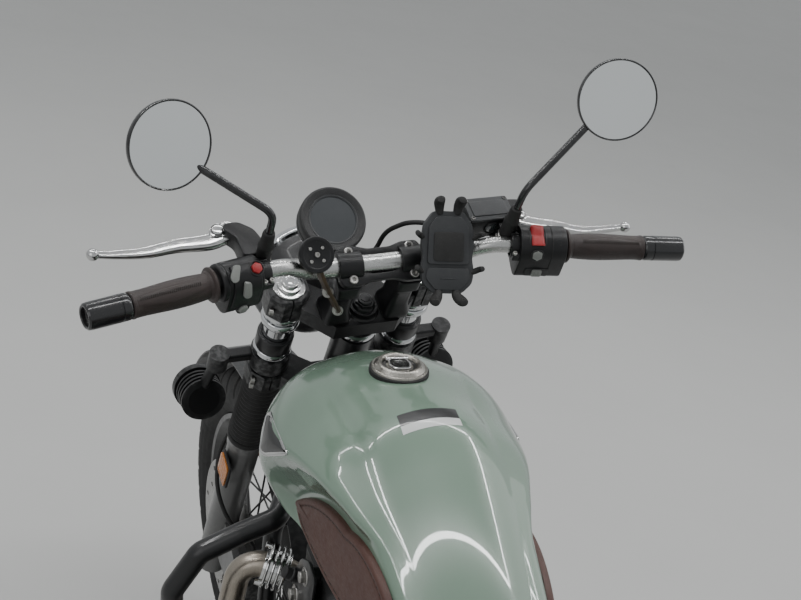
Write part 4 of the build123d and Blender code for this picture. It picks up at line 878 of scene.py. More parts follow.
def addLeftSwitch():
    s = leftSwitch
    r = s["radius"]
    outline = arcAround(r, -30, 170, 36) + flat([(-r - 1, -14), (-r - 2, -30), (-17, -42), (8, -43), (22, -28)], 8,
            4, closed=False)
    body = newMesh()
    place = flip @ alongBar
    prism(body, outline, s["from"], s["to"] - 8, place)
    lathe(body, [(12, s["to"] - 9), (r - 1.5, s["to"] - 9), (r, s["to"] - 7), (r - 0.5, s["to"] - 2),
            (r - 3, s["to"]), (12, s["to"])], place, 52)
    # raised console that carries the buttons
    console = arcAround(r + 3.4, 88, 176, 22) + [(-r - 3.4, -22), (-r + 6, -24), (-r + 8, 0), (0, r - 6)]
    prism(body, console, s["from"] + 5, s["to"] - 13, place)
    piece("leftSwitchCase", body, "machinedBlack", "steering", bevel=1.4, segments=3)
    red = newMesh()
    prism(red, disc(7.6, 6), -3, 5.2, onDrum(-1, 13, 112, r + 1) @ turned(z=30))
    piece("redHexButton", red, "switchRed", "steering", bevel=0.9)
    grey = newMesh()
    paddle = flat([(-5, -10), (4, -12), (6, 9), (0, 13), (-6, 8)], 4, 4)
    prism(grey, paddle, 1.0, 4.6, onDrum(-1, 43, 112, r + 2) @ turned(x=-12, z=28))
    indicator = flat([(-4.5, -12), (4.5, -9), (5.5, 10), (0, 12.5), (-5.5, 10)], 3, 4)
    prism(grey, indicator, 0, 5.4, onDrum(-1, 31, 158, r + 3))
    horn = flip @ alongBar @ moved(-r - 2.5, -27, 29) @ turned(y=-90)
    lathe(grey, [(0, 4.6), (4.6, 4.6), (6.0, 3.8), (6.6, 2.0), (6.6, -2), (0, -2)], horn, 32)
    piece("greyButtonsLeft", grey, "switchGrey", "steering", bevel=0.9)
    rim = newMesh()
    lathe(rim, [(7.4, -1), (7.4, 1.4), (8.4, 2.0), (9.4, 1.4), (9.6, -1)], horn, 32)
    lathe(rim, [(8.4, -2), (8.4, 1.4), (9.4, 2.0), (10.4, 1.2), (10.6, -2)], onDrum(-1, 13, 112, r + 2.4), 32)
    piece("buttonRims", rim, "mouldedBlack", "steering")


addRightSwitch()
addLeftSwitch()
print("stage: grips and switches")

leverSizes = {"left": {"pivot": (-207, 42, 144), "heel": (-232, 34, 141), "mid": (-316, 29, 138),
        "tip": (-385, 22, 153)}, "right": {"pivot": (208, 38, 121), "heel": (238, 28, 118), "mid": (314, 12, 110),
        "tip": (376, -2, 126)}}


def addLevers():
    shine = newMesh()
    dark = newMesh()
    for side, spots in leverSizes.items():
        sign = -1 if side == "left" else 1
        pivot, heel, mid, tip = (Vector(spots[k]) for k in ("pivot", "heel", "mid", "tip"))
        path = smoothPath([pivot + Vector((-sign * 4, 2, 0)), heel, heel.lerp(mid, 0.5) + Vector((0, 3, -1)), mid,
                mid.lerp(tip, 0.55) + Vector((0, 1.5, -3.5)), tip], 44)
        sizes = []
        for i in range(len(path)):
            t = i / (len(path) - 1)
            wide = 9.4 * (1 - t) ** 1.5 + 4.6 + 0.8 * math.sin(math.pi * t)
            tall = 4.6 * (1 - t) + 3.6
            sizes.append((wide, tall))
        section = flat([(-1, -0.7), (0.9, -1), (1, 0.8), (-0.8, 1)], 0.5, 3)
        sweepAlong(shine, path, section, sizes, up=(0, 0, 1))
        ballAt = Matrix.Translation(tip)
        lathe(shine, arcAround(8.0, -90, 90, 15), ballAt, 28)
        # knuckle with the reach dial and the pivot screw
        plate = [pivot + Vector((sign * a, b, 0)) for a, b in ((-14, -4), (-16, 8), (-4, 15), (14, 12), (26, 2),
                (22, -8), (4, -10))]
        prism(shine, flat([(p.x, p.y) for p in plate], 6, 4), pivot.z - 6, pivot.z + 7.5)
        lathe(shine, [(0, 3.4), (6.4, 3.4), (8.2, 2.4), (8.6, 0), (8.6, -3)],
                Matrix.Translation(pivot + Vector((sign * 13, 1, 7))), 30)
        lathe(shine, [(0, 1.6), (2.4, 1.6), (2.6, 3.2), (5.0, 3.2), (5.8, 2.4), (6.0, -2)],
                Matrix.Translation(pivot + Vector((-sign * 7, 5, 7))), 26)
        lathe(dark, [(8.7, -0.6), (9.6, 0.2), (9.6, 1.4), (8.7, 2.2)],
                Matrix.Translation(pivot + Vector((sign * 13, 1, 7))), 30)
    piece("handLevers", shine, "polished", "steering", bevel=0.8, replaces=["levers"])
    piece("dialRings", dark, "darkSteel", "steering")


addLevers()

perchSizes = {"clampAt": 184.0, "bootFoot": (174.0, -10.0, 140.0), "bootTop": (174.0, -10.0, 204.0),
        "tank": (159.0, 28.0, 143.5), "tankSize": (67.0, 40.0, 40.0)}


def addPerches():
    black = newMesh()
    for sign in (-1, 1):
        place = (flip if sign < 0 else Matrix()) @ facing((perchSizes["clampAt"], -29.0, 147.4), (224, -60, 30))
        # two clamp halves around the bar, split with a slit
        for low, high in ((-100, 78), (82, 258)):
            outline = arcAround(18.5, low, high, 22) + arcAround(14.6, high, low, 22)
            prism(black, outline, -10, 9, place)
        block(black, (9, 9, 17), place @ moved(-21, 0, -0.5))
        depth = 145.0 if sign < 0 else 125.0
        arm = [(sign * 168, -8), (sign * 168, 12), (sign * 176, 34), (sign * 194, 48), (sign * 214, 46),
                (sign * 214, 36), (sign * 202, 22), (sign * 200, -8)]
        prism(black, flat(arm, 6, 4), depth - 11, depth + 15 + (0 if sign < 0 else 14))
    piece("leverClamps", black, "machinedBlack", "steering", bevel=1.2, replaces=["lever_perches"],
            segments=3)
    bolts = newMesh()
    for sign in (-1, 1):
        place = (flip if sign < 0 else Matrix()) @ facing((perchSizes["clampAt"], -29.0, 147.4), (224, -60, 30))
        for z in (-5.5, 4.5):
            socketBolt(bolts, place @ moved(-21, 5.5, z) @ turned(x=-90), 3.2, 3.0)
    piece("clampScrews", bolts, "zincSteel", "steering")
    boots = newMesh()
    foot, top = Vector(perchSizes["bootFoot"]), Vector(perchSizes["bootTop"])
    height = (top - foot).length
    lathe(boots, [(0, height), (6.0, height), (7.6, height - 1.6), (8.4, height - 6), (8.8, height - 20),
            (10.6, height - 24), (11.0, height - 26.5), (10.6, height - 29), (10.2, height - 30), (10.2, 12),
            (9.6, 10), (0, 10)], Matrix.Translation(foot), 40)
    piece("mirrorBoots", withMirror(boots), "rubber", "steering")
    nuts = newMesh()
    prism(nuts, disc(12.0, 6), 2, 9.6, Matrix.Translation(foot))
    lathe(nuts, [(0, 2.0), (12.6, 2.0), (12.6, 0.4), (0, 0.4)], Matrix.Translation(foot), 30)
    piece("mirrorNuts", withMirror(nuts), "zincSteel", "steering", bevel=0.5)
    # brake fluid tank
    x, y, z = perchSizes["tankSize"]
    at = Matrix.Translation(Vector(perchSizes["tank"]))
    tank = newMesh()
    outline = oblong(x / 2, y / 2, 4, 5)
    prism(tank, [(a * 0.96, b * 0.94) for a, b in outline], -z / 2, z / 2 - 6, at)
    lathe(tank, [(0, 0.6), (8.6, 0.6), (9.6, 1.6), (10.8, 1.6), (11.2, -1)],
            at @ moved(2, -y / 2 + 1, -1) @ turned(x=90), 32)
    piece("fluidTank", tank, "machinedBlack", "steering", bevel=1.0)
    lid = newMesh()
    prism(lid, outline, z / 2 - 5.6, z / 2 - 1.6, at)
    prism(lid, [(a * 0.8, b * 0.66) for a, b in outline], z / 2 - 2, z / 2, at)
    piece("fluidTankLid", lid, "mouldedGrey", "steering", bevel=0.9)
    glass = newMesh()
    lathe(glass, [(0, 1.2), (7.4, 1.0), (8.4, 0.4), (8.4, -1)], at @ moved(2, -y / 2 + 1, -1) @ turned(x=90), 32)
    piece("fluidSightGlass", glass, "dialGlass", "steering")
    screws = newMesh()
    for a, b in ((-0.5, -0.5), (0.5, -0.5), (0.5, 0.5), (-0.5, 0.5)):
        lathe(screws, [(0, 0.6), (1.4, 0.6), (1.6, 1.6), (2.8, 1.4), (3.2, 0)],
                at @ moved(a * (x - 9), b * (y - 9), z / 2 - 1.7), 16)
    piece("fluidTankScrews", screws, "darkSteel", "steering")


addPerches()

mirrorSizes = {"radius": 55.0, "normal": (0.22, -0.80, 0.56)}


def addMirrors():
    shell = newMesh()
    glass = newMesh()
    for sign in (-1, 1):
        centre = Vector((sign * 300, 44, 328.5 + sign * 12.5))
        tilt = Vector((-sign * mirrorSizes["normal"][0], mirrorSizes["normal"][1], mirrorSizes["normal"][2]))
        place = facing(centre, tilt)
        r = mirrorSizes["radius"]
        lathe(shell, [(r - 2.4, -3.4), (r - 2.2, -0.6), (r - 1.4, 0), (r - 0.5, -0.4), (r, -1.6), (r, -6),
                (r - 1.2, -9.5), (r - 6, -12.4), (r - 22, -14), (0, -14)], place, 96)
        lathe(glass, [(0, -0.95), (r * 0.5, -1.05), (r - 2.6, -1.5)], place, 96)
        joint = place @ Vector((-sign * 20, -24, -11))
        stem = rounded([(sign * 174, -10, 203), (sign * 174, -10, 238), tuple(joint)], 26, 9, closed=False)
        sweepAlong(shell, stem, disc(5.2, 24))
        lathe(shell, [(0, 4), (9, 4), (11, 0), (12, -4)], place @ moved(-sign * 20, -24, -12) @ turned(x=180), 28)
    piece("mirrorShells", shell, "barBlack", "steering", replaces=["mirror_arms"])
    piece("mirrorFaces", glass, "mirrorGlass", "steering", replaces=["mirror_glass"])


addMirrors()
print("stage: levers, tanks and mirrors")

gaugeSizes = {"spot": (-23, 110, 70), "normal": (0, -0.377, 0.925), "radius": 49.0, "glass": 34.5}


def addGauge():
    g = gaugeSizes
    r = g["radius"]
    place = facing(g["spot"], g["normal"])
    pod = newMesh()
    lathe(pod, [(g["glass"], -4.0), (g["glass"] + 0.6, -2.6), (g["glass"] + 5, -1.2), (r - 6.0, -0.4),
            (r - 3.4, 0.0), (r - 1.4, -1.0), (r - 0.2, -4.0), (r, -8), (r - 0.6, -16), (r - 1.6, -17),
            (r - 1.6, -19), (r - 0.8, -20), (r - 1.8, -28), (r - 5, -33), (r - 14, -35), (0, -35)], place, 96)
    piece("gaugePod", pod, "mouldedBlack", "steering", replaces=["gauge"])
    face = newMesh()
    lathe(face, [(0, -2.6), (g["glass"] * 0.6, -2.8), (g["glass"] + 0.4, -3.4)], place, 80)
    piece("gaugeGlass", face, "dialGlass", "steering")
    ring = newMesh()
    lathe(ring, [(g["glass"] - 1.0, -2.4), (g["glass"] + 1.2, -1.7), (g["glass"] + 2.0, -2.0)], place, 80)
    piece("gaugeRing", ring, "mouldedGrey", "steering")
    arm = newMesh()
    sweepAlong(arm, smoothPath([(-23, 118, 42), (-23, 104, 26), (-23, 74, 8), (-23, 46, -2)], 14),
            oblong(17, 3, 2, 3))
    lathe(arm, [(0, 3), (16, 3), (20, -4), (20, -10), (0, -10)], place @ moved(0, 0, -36), 36)
    block(arm, (42, 36, 7), moved(-23, 44, -2))
    piece("gaugeBracket", arm, "frameBlack", "steering", bevel=0.8)


addGauge()

clampSizes = {"u": 44.0, "front": (15.0, 102.0), "rear": (-20.0, 88.0), "bar": (-2.0, 104.0)}


def addBarClamps():
    black = newMesh()
    slope = math.degrees(math.atan2(clampSizes["front"][1] - clampSizes["rear"][1],
            clampSizes["front"][0] - clampSizes["rear"][0]))
    centre = (0, -2.5, 99.0)
    place = moved(*centre) @ turned(x=slope)
    # foot, neck and cradle of each riser
    for sign in (-1, 1):
        u = sign * clampSizes["u"]
        foot = oblong(19, 24, 9, 5)
        neck = oblong(15, 19, 9, 5)
        head = oblong(17, 27, 7, 5)
        rings = []
        for z, outline, shift, tilt in ((0.3, foot, 0, 0), (9, foot, 0, 0), (26, neck, -1, 0), (58, neck, -2, 0.4),
                (76, head, -2.5, 1), (94, head, -2.5, 1)):
            turn = turned(x=slope * tilt)
            rings.append([black.verts.new(moved(u, shift, z) @ turn @ Vector((p[0], p[1], 0))) for p in outline])
        skin(black, rings)
        black.faces.new(list(reversed(rings[0])))
        black.faces.new(rings[-1])
    # one bridge over both ends, waisted between them so the bar shows
    bridge = [(-62, 20), (-56, 28), (-34, 28), (-16, 22.5), (16, 22.5), (34, 28), (56, 28), (62, 20), (62, 9),
            (30, 9), (14, 12.5), (-14, 12.5), (-30, 9), (-62, 9)]
    rear = [(x, -y) for x, y in reversed(bridge)]
    for outline in (bridge, rear):
        prism(black, flat(outline, 4, 4), 2.5, 13.5, place)
    for sign in (-1, 1):
        sector = arcAround(20.6, 18, 162, 18) + arcAround(14.9, 162, 18, 18)
        prism(black, sector, -17, 17, moved(sign * 45, *clampSizes["bar"]) @ turned(y=90) @ turned(z=90 + slope))
    piece("barRisers", black, "machinedBlack", "steering", bevel=1.5, replaces=["bar_clamps"],
            segments=3)
    bolts = newMesh()
    for sign in (-1, 1):
        for b in (19.5, -19.5):
            at = place @ moved(sign * clampSizes["u"], b, 13.0)
            lathe(bolts, [(0, 0.8), (2.9, 0.8), (3.1, 4.4), (5.2, 4.6), (6.2, 3.6), (6.4, 0), (8.2, 0), (8.4, -1)],
                    at, 28)
    piece("bridgeBolts", bolts, "zincSteel", "steering")


addBarClamps()

puckSizes = {"spot": (-103, -17, 156), "normal": (0, -0.6, 0.8), "radius": 24.0}


def addPuck():
    place = facing(puckSizes["spot"], puckSizes["normal"])
    r = puckSizes["radius"]
    body = newMesh()
    lathe(body, [(0, -0.6), (15.6, -0.6), (16.4, -0.2), (17.6, -0.2), (18.4, 0.3), (21.0, 0.6), (23.2, 0.2),
            (r, -1.2), (r, -6.5), (22.6, -8), (22.2, -10), (0, -10)], place, 72)
    piece("roundMount", body, "machinedBlack", "steering")
    screws = newMesh()
    lathe(screws, [(0, -0.2), (1.6, -0.2), (1.8, 1.6), (3.2, 1.7), (3.8, 0.9), (4.0, -0.6)], place, 24)
    for k in range(4):
        spot = place @ turned(z=45 + 90 * k) @ moved(11.8, 0, 0)
        lathe(screws, [(0, -0.5), (1.0, -0.5), (1.1, 0.4), (1.9, 0.5), (2.3, 0.1), (2.4, -0.6)], spot, 18)
    piece("roundMountScrews", screws, "zincSteel", "steering")
    arm = newMesh()
    section = oblong(8, 2.6, 2, 3)
    sweepAlong(arm, smoothPath([(-102, -13, 149), (-97, -24, 130), (-86, -34, 106), (-72, -38, 80), (-60, -37, 56)],
            22), section, up=(1, 0.3, 0.2))
    piece("mountArm", arm, "bronzeBlack", "steering", bevel=0.6)
    ends = newMesh()
    for spot in ((-83, -38, 99), (-62, -41, 60)):
        lathe(ends, [(0, 0.4), (2.2, 0.4), (2.4, 2.8), (4.2, 3.0), (5.0, 2.2), (5.2, -1), (7.4, -1), (7.6, -2.2)],
                facing(spot, (-0.35, -0.8, 0.45)), 26)
    piece("mountArmBolts", ends, "zincSteel", "steering")


addPuck()

holderSizes = {"spot": (78, -34, 155), "normal": (-0.1, -0.62, 0.78)}


def addPhoneHolder():
    place = facing(holderSizes["spot"], holderSizes["normal"])
    body = newMesh()
    back = [(-21, 54), (21, 54), (34, 36), (37, 10), (34, -8), (37, -24), (35, -42), (20, -56), (-20, -56),
            (-35, -42), (-37, -24), (-34, -8), (-37, 10), (-34, 36)]
    prism(body, flat(back, 6, 4), -12, -3, place)
    upper = [(-17, 47), (17, 47), (28, 33), (29, -17), (-29, -17), (-28, 33)]
    prism(body, flat(upper, 5, 4), -4, 0, place)
    lower = [(-29, -22), (29, -22), (31, -36), (18, -51), (-18, -51), (-31, -36)]
    prism(body, flat(lower, 4, 4), -4, -0.6, place)
    block(body, (22, 1.4, 1), place @ moved(0, -36, -0.4))
    piece("phoneHolder", body, "mouldedGrey", "steering", bevel=1.1, replaces=["bar_accessories"],
            segments=3)
    pad = newMesh()
    prism(pad, flat([(-21, 26), (21, 26), (21, -13), (-21, -13)], 5, 5), -0.6, 1.4, place)
    # rubber claws at the corners and small arms at the sides
    for sign in (-1, 1):
        for y, way in ((62, 1), (-61, -1)):
            spine = [(sign * 12, y - way * 12, -6), (sign * 13.5, y - way * 2, -3),
                    (sign * 15 if way > 0 else sign * 19, y + way * 5, 3),
                    (sign * 15 if way > 0 else sign * 20, y + way * 7, 11)]
            path = [place @ p for p in smoothPath(spine, 12)]
            sizes = [(5.4 + 2.4 * math.sin(math.pi * min(1, (i / 12) ** 1.4)),
                    4.4 + 1.8 * math.sin(math.pi * (i / 12) ** 1.4)) for i in range(13)]
            sweepAlong(pad, path, disc(1.0, 16), sizes)
        for y, drop in ((18, 5), (-28, 5)):
            spine = [(sign * 30, y, -8), (sign * 37, y + 2, -5), (sign * 43, y + drop, 1),
                    (sign * 46, y + drop + 1, 8)]
            path = [place @ p for p in smoothPath(spine, 10)]
            sizes = [(3.6 + 0.8 * math.sin(math.pi * i / 10), 3.6) for i in range(11)]
            sweepAlong(pad, path, disc(1.0, 14), sizes)
    piece("phoneHolderPads", pad, "rubber", "steering", bevel=0.5)
    neck = newMesh()
    tube(neck, [tuple(place @ Vector((4, -4, -10))), (98, -22, 132), (101, -10, 116)], 9.5, 8)
    ringPlace = facing((103, -6, 111), (0.8, -0.25, 0.5))
    lathe(neck, [(15, -9), (18.6, -9), (19.4, -7.6), (19.4, 7.6), (18.6, 9), (15, 9)], ringPlace, 44)
    block(neck, (11, 15, 14), ringPlace @ moved(-21, -3, 0))
    piece("phoneHolderNeck", neck, "machinedBlack", "steering", bevel=0.8)


addPhoneHolder()
print("stage: gauge, risers and bar fittings")

forkSizes = {"u": 100.0, "v": 40.0, "rings": [(-29, -41), (-46, -58), (-116, -127)], "gaiterTop": -195.0,
        "gaiterBottom": -360.0, "folds": 15}


def addForkDetail():
    f = forkSizes
    shine, caps, boots = newMesh(), newMesh(), newMesh()
    top, bottom = f["gaiterTop"], f["gaiterBottom"]
    pitch = (top - 12 - bottom - 12) / f["folds"]
    boot = [(20.9, top), (27.5, top), (28.5, top - 1.5), (28.5, top - 9), (27, top - 11)]
    for i in range(f["folds"]):
        z = top - 12 - i * pitch
        grow = 29.2 + 2.6 * i / f["folds"]
        boot += [(grow - 3.4, z - 0.4), (grow - 0.6, z - pitch * 0.3), (grow, z - pitch * 0.5),
                (grow - 0.6, z - pitch * 0.7)]
    boot += [(28.6, bottom + 11), (31.4, bottom + 10), (31.9, bottom + 8.5), (31.9, bottom + 1.5), (31.2, bottom),
            (20.9, bottom)]
    for side in (-1, 1):
        at = moved(side * f["u"], f["v"], 0)
        for high, low in f["rings"]:
            lathe(shine, [(20.4, low), (25.4, low), (27.4, low + 2), (28.4, (high + low) / 2), (27.4, high - 2),
                    (25.4, high), (20.4, high)], at, 60)
        lathe(shine, [(20.4, -42), (23.4, -42), (23.4, -45), (20.4, -45)], at, 60)
        lathe(caps, [(0, 30.6), (5.4, 30.6), (5.8, 28.4), (7.2, 28.4), (7.6, 30.6), (11.4, 30.6), (12.4, 29.6),
                (12.6, 25.6), (16.4, 25.4), (17.4, 24.4), (17.6, 19.5), (22.4, 19.3), (23.4, 18.3), (23.4, 15.9)],
                at, 60)
        lathe(boots, boot, at, 60)
    piece("forkRings", shine, "chrome", "steering")
    piece("forkCaps", caps, "polished", "steering", bevel=0.4)
    piece("forkBoots", boots, "rubber", "steering", replaces=["fork_gaiters"])
    stem = newMesh()
    lathe(stem, [(14.0, -42), (27.0, -42), (29.4, -40), (30.2, -37), (29.4, -33), (27.5, -30.5), (24.6, -30),
            (24.0, -27)], segments=72)
    piece("stemRing", stem, "chrome", "steering")
    nut = newMesh()
    prism(nut, disc(15.4, 6), 0.2, 15, turned(z=14))
    lathe(nut, [(0, 24), (9.6, 24), (10.6, 23), (11.0, 16.4), (14, 15.6), (15.4, 14.6), (17.6, 3), (22.0, 2.4),
            (24.0, 0.2)], segments=60)
    prism(nut, disc(7.4, 6), 23, 25.4, turned(z=8))
    piece("stemNut", nut, "machinedBlack", "steering", bevel=0.7)


addForkDetail()
print("stage: fork")

tankSizes = {
    # y, bottom z, bottom half width, side z, side half width, crease x, crease z, top z
    "sections": [(292.0, 838.0, 48.0, 880.0, 62.0, 34.0, 917.0, 922.0),
                 (262.0, 792.0, 96.0, 858.0, 132.0, 72.0, 930.0, 944.0),
                 (190.0, 764.0, 132.0, 856.0, 168.0, 95.0, 943.0, 965.0),
                 (105.0, 757.0, 134.0, 862.0, 168.0, 90.0, 941.0, 970.0),
                 (20.0, 755.0, 124.0, 866.0, 157.0, 88.0, 939.0, 969.0),
                 (-60.0, 756.0, 114.0, 848.0, 141.0, 84.0, 914.0, 942.0),
                 (-150.0, 760.0, 100.0, 822.0, 123.0, 69.0, 883.0, 905.0),
                 (-230.0, 768.0, 86.0, 802.0, 102.0, 58.0, 846.0, 862.0),
                 (-262.0, 772.0, 76.0, 796.0, 88.0, 50.0, 826.0, 838.0)],
    "kneeFloor": [(146, 788), (74, 842), (-60, 876), (-140, 880), (-212, 846), (-222, 806), (-206, 775), (-60, 752),
                  (104, 762), (134, 768)],
    "kneeRim": [(240, 760), (166, 862), (0, 928), (-120, 940), (-300, 905), (-312, 790), (-300, 690), (-60, 670),
                (170, 676), (216, 700)],
    "pad": [(132, 797), (66, 838), (-38, 862), (-110, 872), (-196, 840), (-206, 810), (-192, 784), (-70, 760),
            (86, 770), (118, 782)],
    "floorX": 108.5, "floorTurn": 5.5, "rimRise": 60.0, "roll": 15.0, "padThickness": 10.0,
    # how far the pad's rings lie inside its outline, and below its face
    "padEdge": [(0.9, 2.4), (2.8, 0.7), (5.2, 0.1), (7.6, 0.2), (8.6, 1.0), (9.8, 1.1), (11.0, 0.3)],
    "tunnel": 55.0, "tunnelTop": 826.0, "endRound": 9.0, "rows": 116,
    # y, width and share of the flat band under the crease
    "band": [(300, 46.0, 0.0), (30, 44.0, 0.0), (-8, 38.0, 1.0), (-52, 26.0, 1.0), (-90, 16.0, 1.0),
             (-126, 9.0, 1.0), (-165, 8.0, 0.0), (-300, 8.0, 0.0)],
}


def circleOf(a, b, c):
    # middle, radius, first angle and swept angle of the arc through three points
    d = 2 * (a[0] * (b[1] - c[1]) + b[0] * (c[1] - a[1]) + c[0] * (a[1] - b[1]))
    squares = [p[0] ** 2 + p[1] ** 2 for p in (a, b, c)]
    x = (squares[0] * (b[1] - c[1]) + squares[1] * (c[1] - a[1]) + squares[2] * (a[1] - b[1])) / d
    y = (squares[0] * (c[0] - b[0]) + squares[1] * (a[0] - c[0]) + squares[2] * (b[0] - a[0])) / d
    radius = math.hypot(a[0] - x, a[1] - y)
    start, middle, end = (math.atan2(p[1] - y, p[0] - x) for p in (a, b, c))
    sweep = (end - start) % math.tau
    if (middle - start) % math.tau > sweep:
        sweep -= math.tau
    return x, y, radius, start, sweep


def arcThrough(a, b, c, shares):
    x, y, radius, start, sweep = circleOf(a, b, c)
    return [(x + radius * math.cos(start + sweep * s), y + radius * math.sin(start + sweep * s)) for s in shares]


def arcLoop(points, steps):
    loop = []
    for i in range(0, len(points), 2):
        loop += arcThrough(points[i], points[i + 1], points[(i + 2) % len(points)],
                [k / steps for k in range(steps)])
    return loop


def fromTable(rows, y):
    # smooth curve through the columns of a table whose first column falls
    spans = len(rows) - 1
    i = next((k for k in range(spans) if y >= rows[k + 1][0]), spans - 1)
    step = rows[i + 1][0] - rows[i][0]
    t = (y - rows[i][0]) / step

    def slope(k, c):
        low, high = max(0, k - 1), min(spans, k + 1)
        return (rows[high][c] - rows[low][c]) / (rows[high][0] - rows[low][0])

    values = []
    for c in range(1, len(rows[0])):
        values.append((2 * t ** 3 - 3 * t ** 2 + 1) * rows[i][c] + (t ** 3 - 2 * t ** 2 + t) * step * slope(i,
                c) + (3 * t ** 2 - 2 * t ** 3) * rows[i + 1][c] + (t ** 3 - t ** 2) * step * slope(i + 1, c))
    return values


def tankOutline(y):
    bottomZ, bottomHalf, sideZ, sideHalf, creaseX, creaseZ, topZ = fromTable(tankSizes["sections"], y)
    rows = tankSizes["band"]
    i = next(k for k in range(len(rows) - 1) if y >= rows[k + 1][0])
    t = (y - rows[i][0]) / (rows[i + 1][0] - rows[i][0])
    wide, share = (rows[i][c] + (rows[i + 1][c] - rows[i][c]) * t for c in (1, 2))
    corners = (creaseX, creaseZ), (sideHalf, sideZ), (bottomHalf, bottomZ)
    radius, sweep = circleOf(*corners)[2::2]
    cut = wide / (abs(sweep) * radius)
    side = arcThrough(*corners, [cut * k / 9 for k in range(10)] + [cut + (1 - cut) * k / 46 for k in range(1, 47)])
    first, last = side[0], side[9]
    for k in range(1, 9):
        flat = (first[0] + (last[0] - first[0]) * k / 9, first[1] + (last[1] - first[1]) * k / 9)
        side[k] = (side[k][0] + (flat[0] - side[k][0]) * share, side[k][1] + (flat[1] - side[k][1]) * share)
    roof = arcThrough((creaseX, creaseZ), (0, topZ), (-creaseX, creaseZ), [0.5 * k / 22 for k in range(1, 23)])
    tunnelZ = max(tankSizes["tunnelTop"], bottomZ + 1)
    half = tankSizes["tunnel"] if bottomHalf > tankSizes["tunnel"] + 12 else bottomHalf - 12
    low = [(0, tunnelZ), (half, tunnelZ), (half, bottomZ), ((half + bottomHalf) / 2, bottomZ),
            (bottomHalf - 8, bottomZ), (bottomHalf - 3, bottomZ + 0.8)]
    side[-1] = (side[-1][0] * 0.5 + side[-2][0] * 0.5 - 0.6, side[-1][1] * 0.65 + side[-2][1] * 0.35)
    side[0] = (side[0][0] * 0.6 + (side[1][0] + roof[0][0]) * 0.2,
            side[0][1] * 0.6 + (side[1][1] + roof[0][1]) * 0.2)
    return low + list(reversed(side)) + roof


kneeLean = math.radians(tankSizes["floorTurn"])
kneeFloorLine = arcLoop(tankSizes["kneeFloor"], 9)
kneeRimLine = arcLoop(tankSizes["kneeRim"], 9)
kneePlace = Matrix(((math.sin(kneeLean), 0, math.cos(kneeLean), tankSizes["floorX"]),
        (math.cos(kneeLean), 0, -math.sin(kneeLean), 0), (0, 1, 0, 0), (0, 0, 0, 1)))


def fromLoop(loop, a, b):
    # distance to a closed line, below zero inside it
    best = 1e9
    inside = False
    for (x1, y1), (x2, y2) in zip(loop, loop[1:] + loop[:1]):
        dx, dy = x2 - x1, y2 - y1
        t = max(0.0, min(1.0, ((a - x1) * dx + (b - y1) * dy) / (dx * dx + dy * dy)))
        best = min(best, (a - x1 - t * dx) ** 2 + (b - y1 - t * dy) ** 2)
        if (y1 > b) != (y2 > b) and a < x1 + (b - y1) / (y2 - y1) * dx:
            inside = not inside
    return -math.sqrt(best) if inside else math.sqrt(best)


def sunkForKnee(x, y, z):
    deep = (x - tankSizes["floorX"]) * math.cos(kneeLean) - y * math.sin(kneeLean)
    if deep < -18 or z < 700:
        return x, y
    along = (x - tankSizes["floorX"]) * math.sin(kneeLean) + y * math.cos(kneeLean)
    fromFloor = max(0.0, fromLoop(kneeFloorLine, along, z))
    fromRim = fromLoop(kneeRimLine, along, z)
    share = fromFloor / (fromFloor - fromRim) if fromRim < 0 else 1 + fromRim / 40
    wall = tankSizes["rimRise"] * (math.sqrt(share ** 2 + 0.004) - 0.063)
    soft = tankSizes["roll"]
    h = max(0.0, min(1.0, 0.5 + 0.5 * (wall - deep) / soft))
    sunk = wall + (deep - wall) * h - soft * h * (1 - h)
    return x + (sunk - deep) * math.cos(kneeLean), y - (sunk - deep) * math.sin(kneeLean)


def addTank():
    front, rear = tankSizes["sections"][0][0], tankSizes["sections"][-1][0]
    edge = tankSizes["endRound"]
    near = [0.0, 0.5, 1.6, 3.2, 5.6]
    count = tankSizes["rows"]
    rows = [front - d for d in near]
    rows += [front - edge + (rear + edge - front + edge) * k / count for k in range(count + 1)]
    rows += [rear + d for d in reversed(near)]
    mesh = newMesh()
    rings = []
    for y in rows:
        outline = tankOutline(y)
        gone = edge - min(edge, front - y, y - rear)
        inset = edge - math.sqrt(max(0.0, edge ** 2 - gone ** 2))
        middle = (max(p[1] for p in outline) + min(p[1] for p in outline)) / 2
        wide = max(p[0] for p in outline)
        tall = max(p[1] for p in outline) - middle
        right = []
        for x, z in outline:
            x *= 1 - inset / wide
            z = middle + (z - middle) * (1 - inset / tall)
            spot = sunkForKnee(x, y, z)
            right.append((spot[0], spot[1], z))
        ring = [mesh.verts.new(p) for p in right]
        ring += [mesh.verts.new((-p[0], p[1], p[2])) for p in reversed(right[1:-1])]
        rings.append(ring)
    skin(mesh, rings)
    mesh.faces.new(rings[0])
    mesh.faces.new(rings[-1])
    bmesh.ops.recalc_face_normals(mesh, faces=mesh.faces)
    tree = BVHTree.FromBMesh(mesh)
    piece("fuelTank", mesh, "tankPaint", "chassis", replaces=["tank"], sharp=28.0)
    return tree


tankTree = addTank()
print("stage: tank")


def insetLoop(loop, amount):
    result = []
    count = len(loop)
    area = sum(loop[i][0] * loop[(i + 1) % count][1] - loop[(i + 1) % count][0] * loop[i][1] for i in range(count))
    sign = 1 if area > 0 else -1
    for i in range(count):
        before, after = loop[i - 1], loop[(i + 1) % count]
        way = Vector((after[0] - before[0], after[1] - before[1])).normalized()
        result.append((loop[i][0] - way.y * amount * sign, loop[i][1] + way.x * amount * sign))
    return result


def shrunkLoop(loop, scale):
    x = sum(p[0] for p in loop) / len(loop)
    y = sum(p[1] for p in loop) / len(loop)
    return [(x + (p[0] - x) * scale, y + (p[1] - y) * scale) for p in loop]


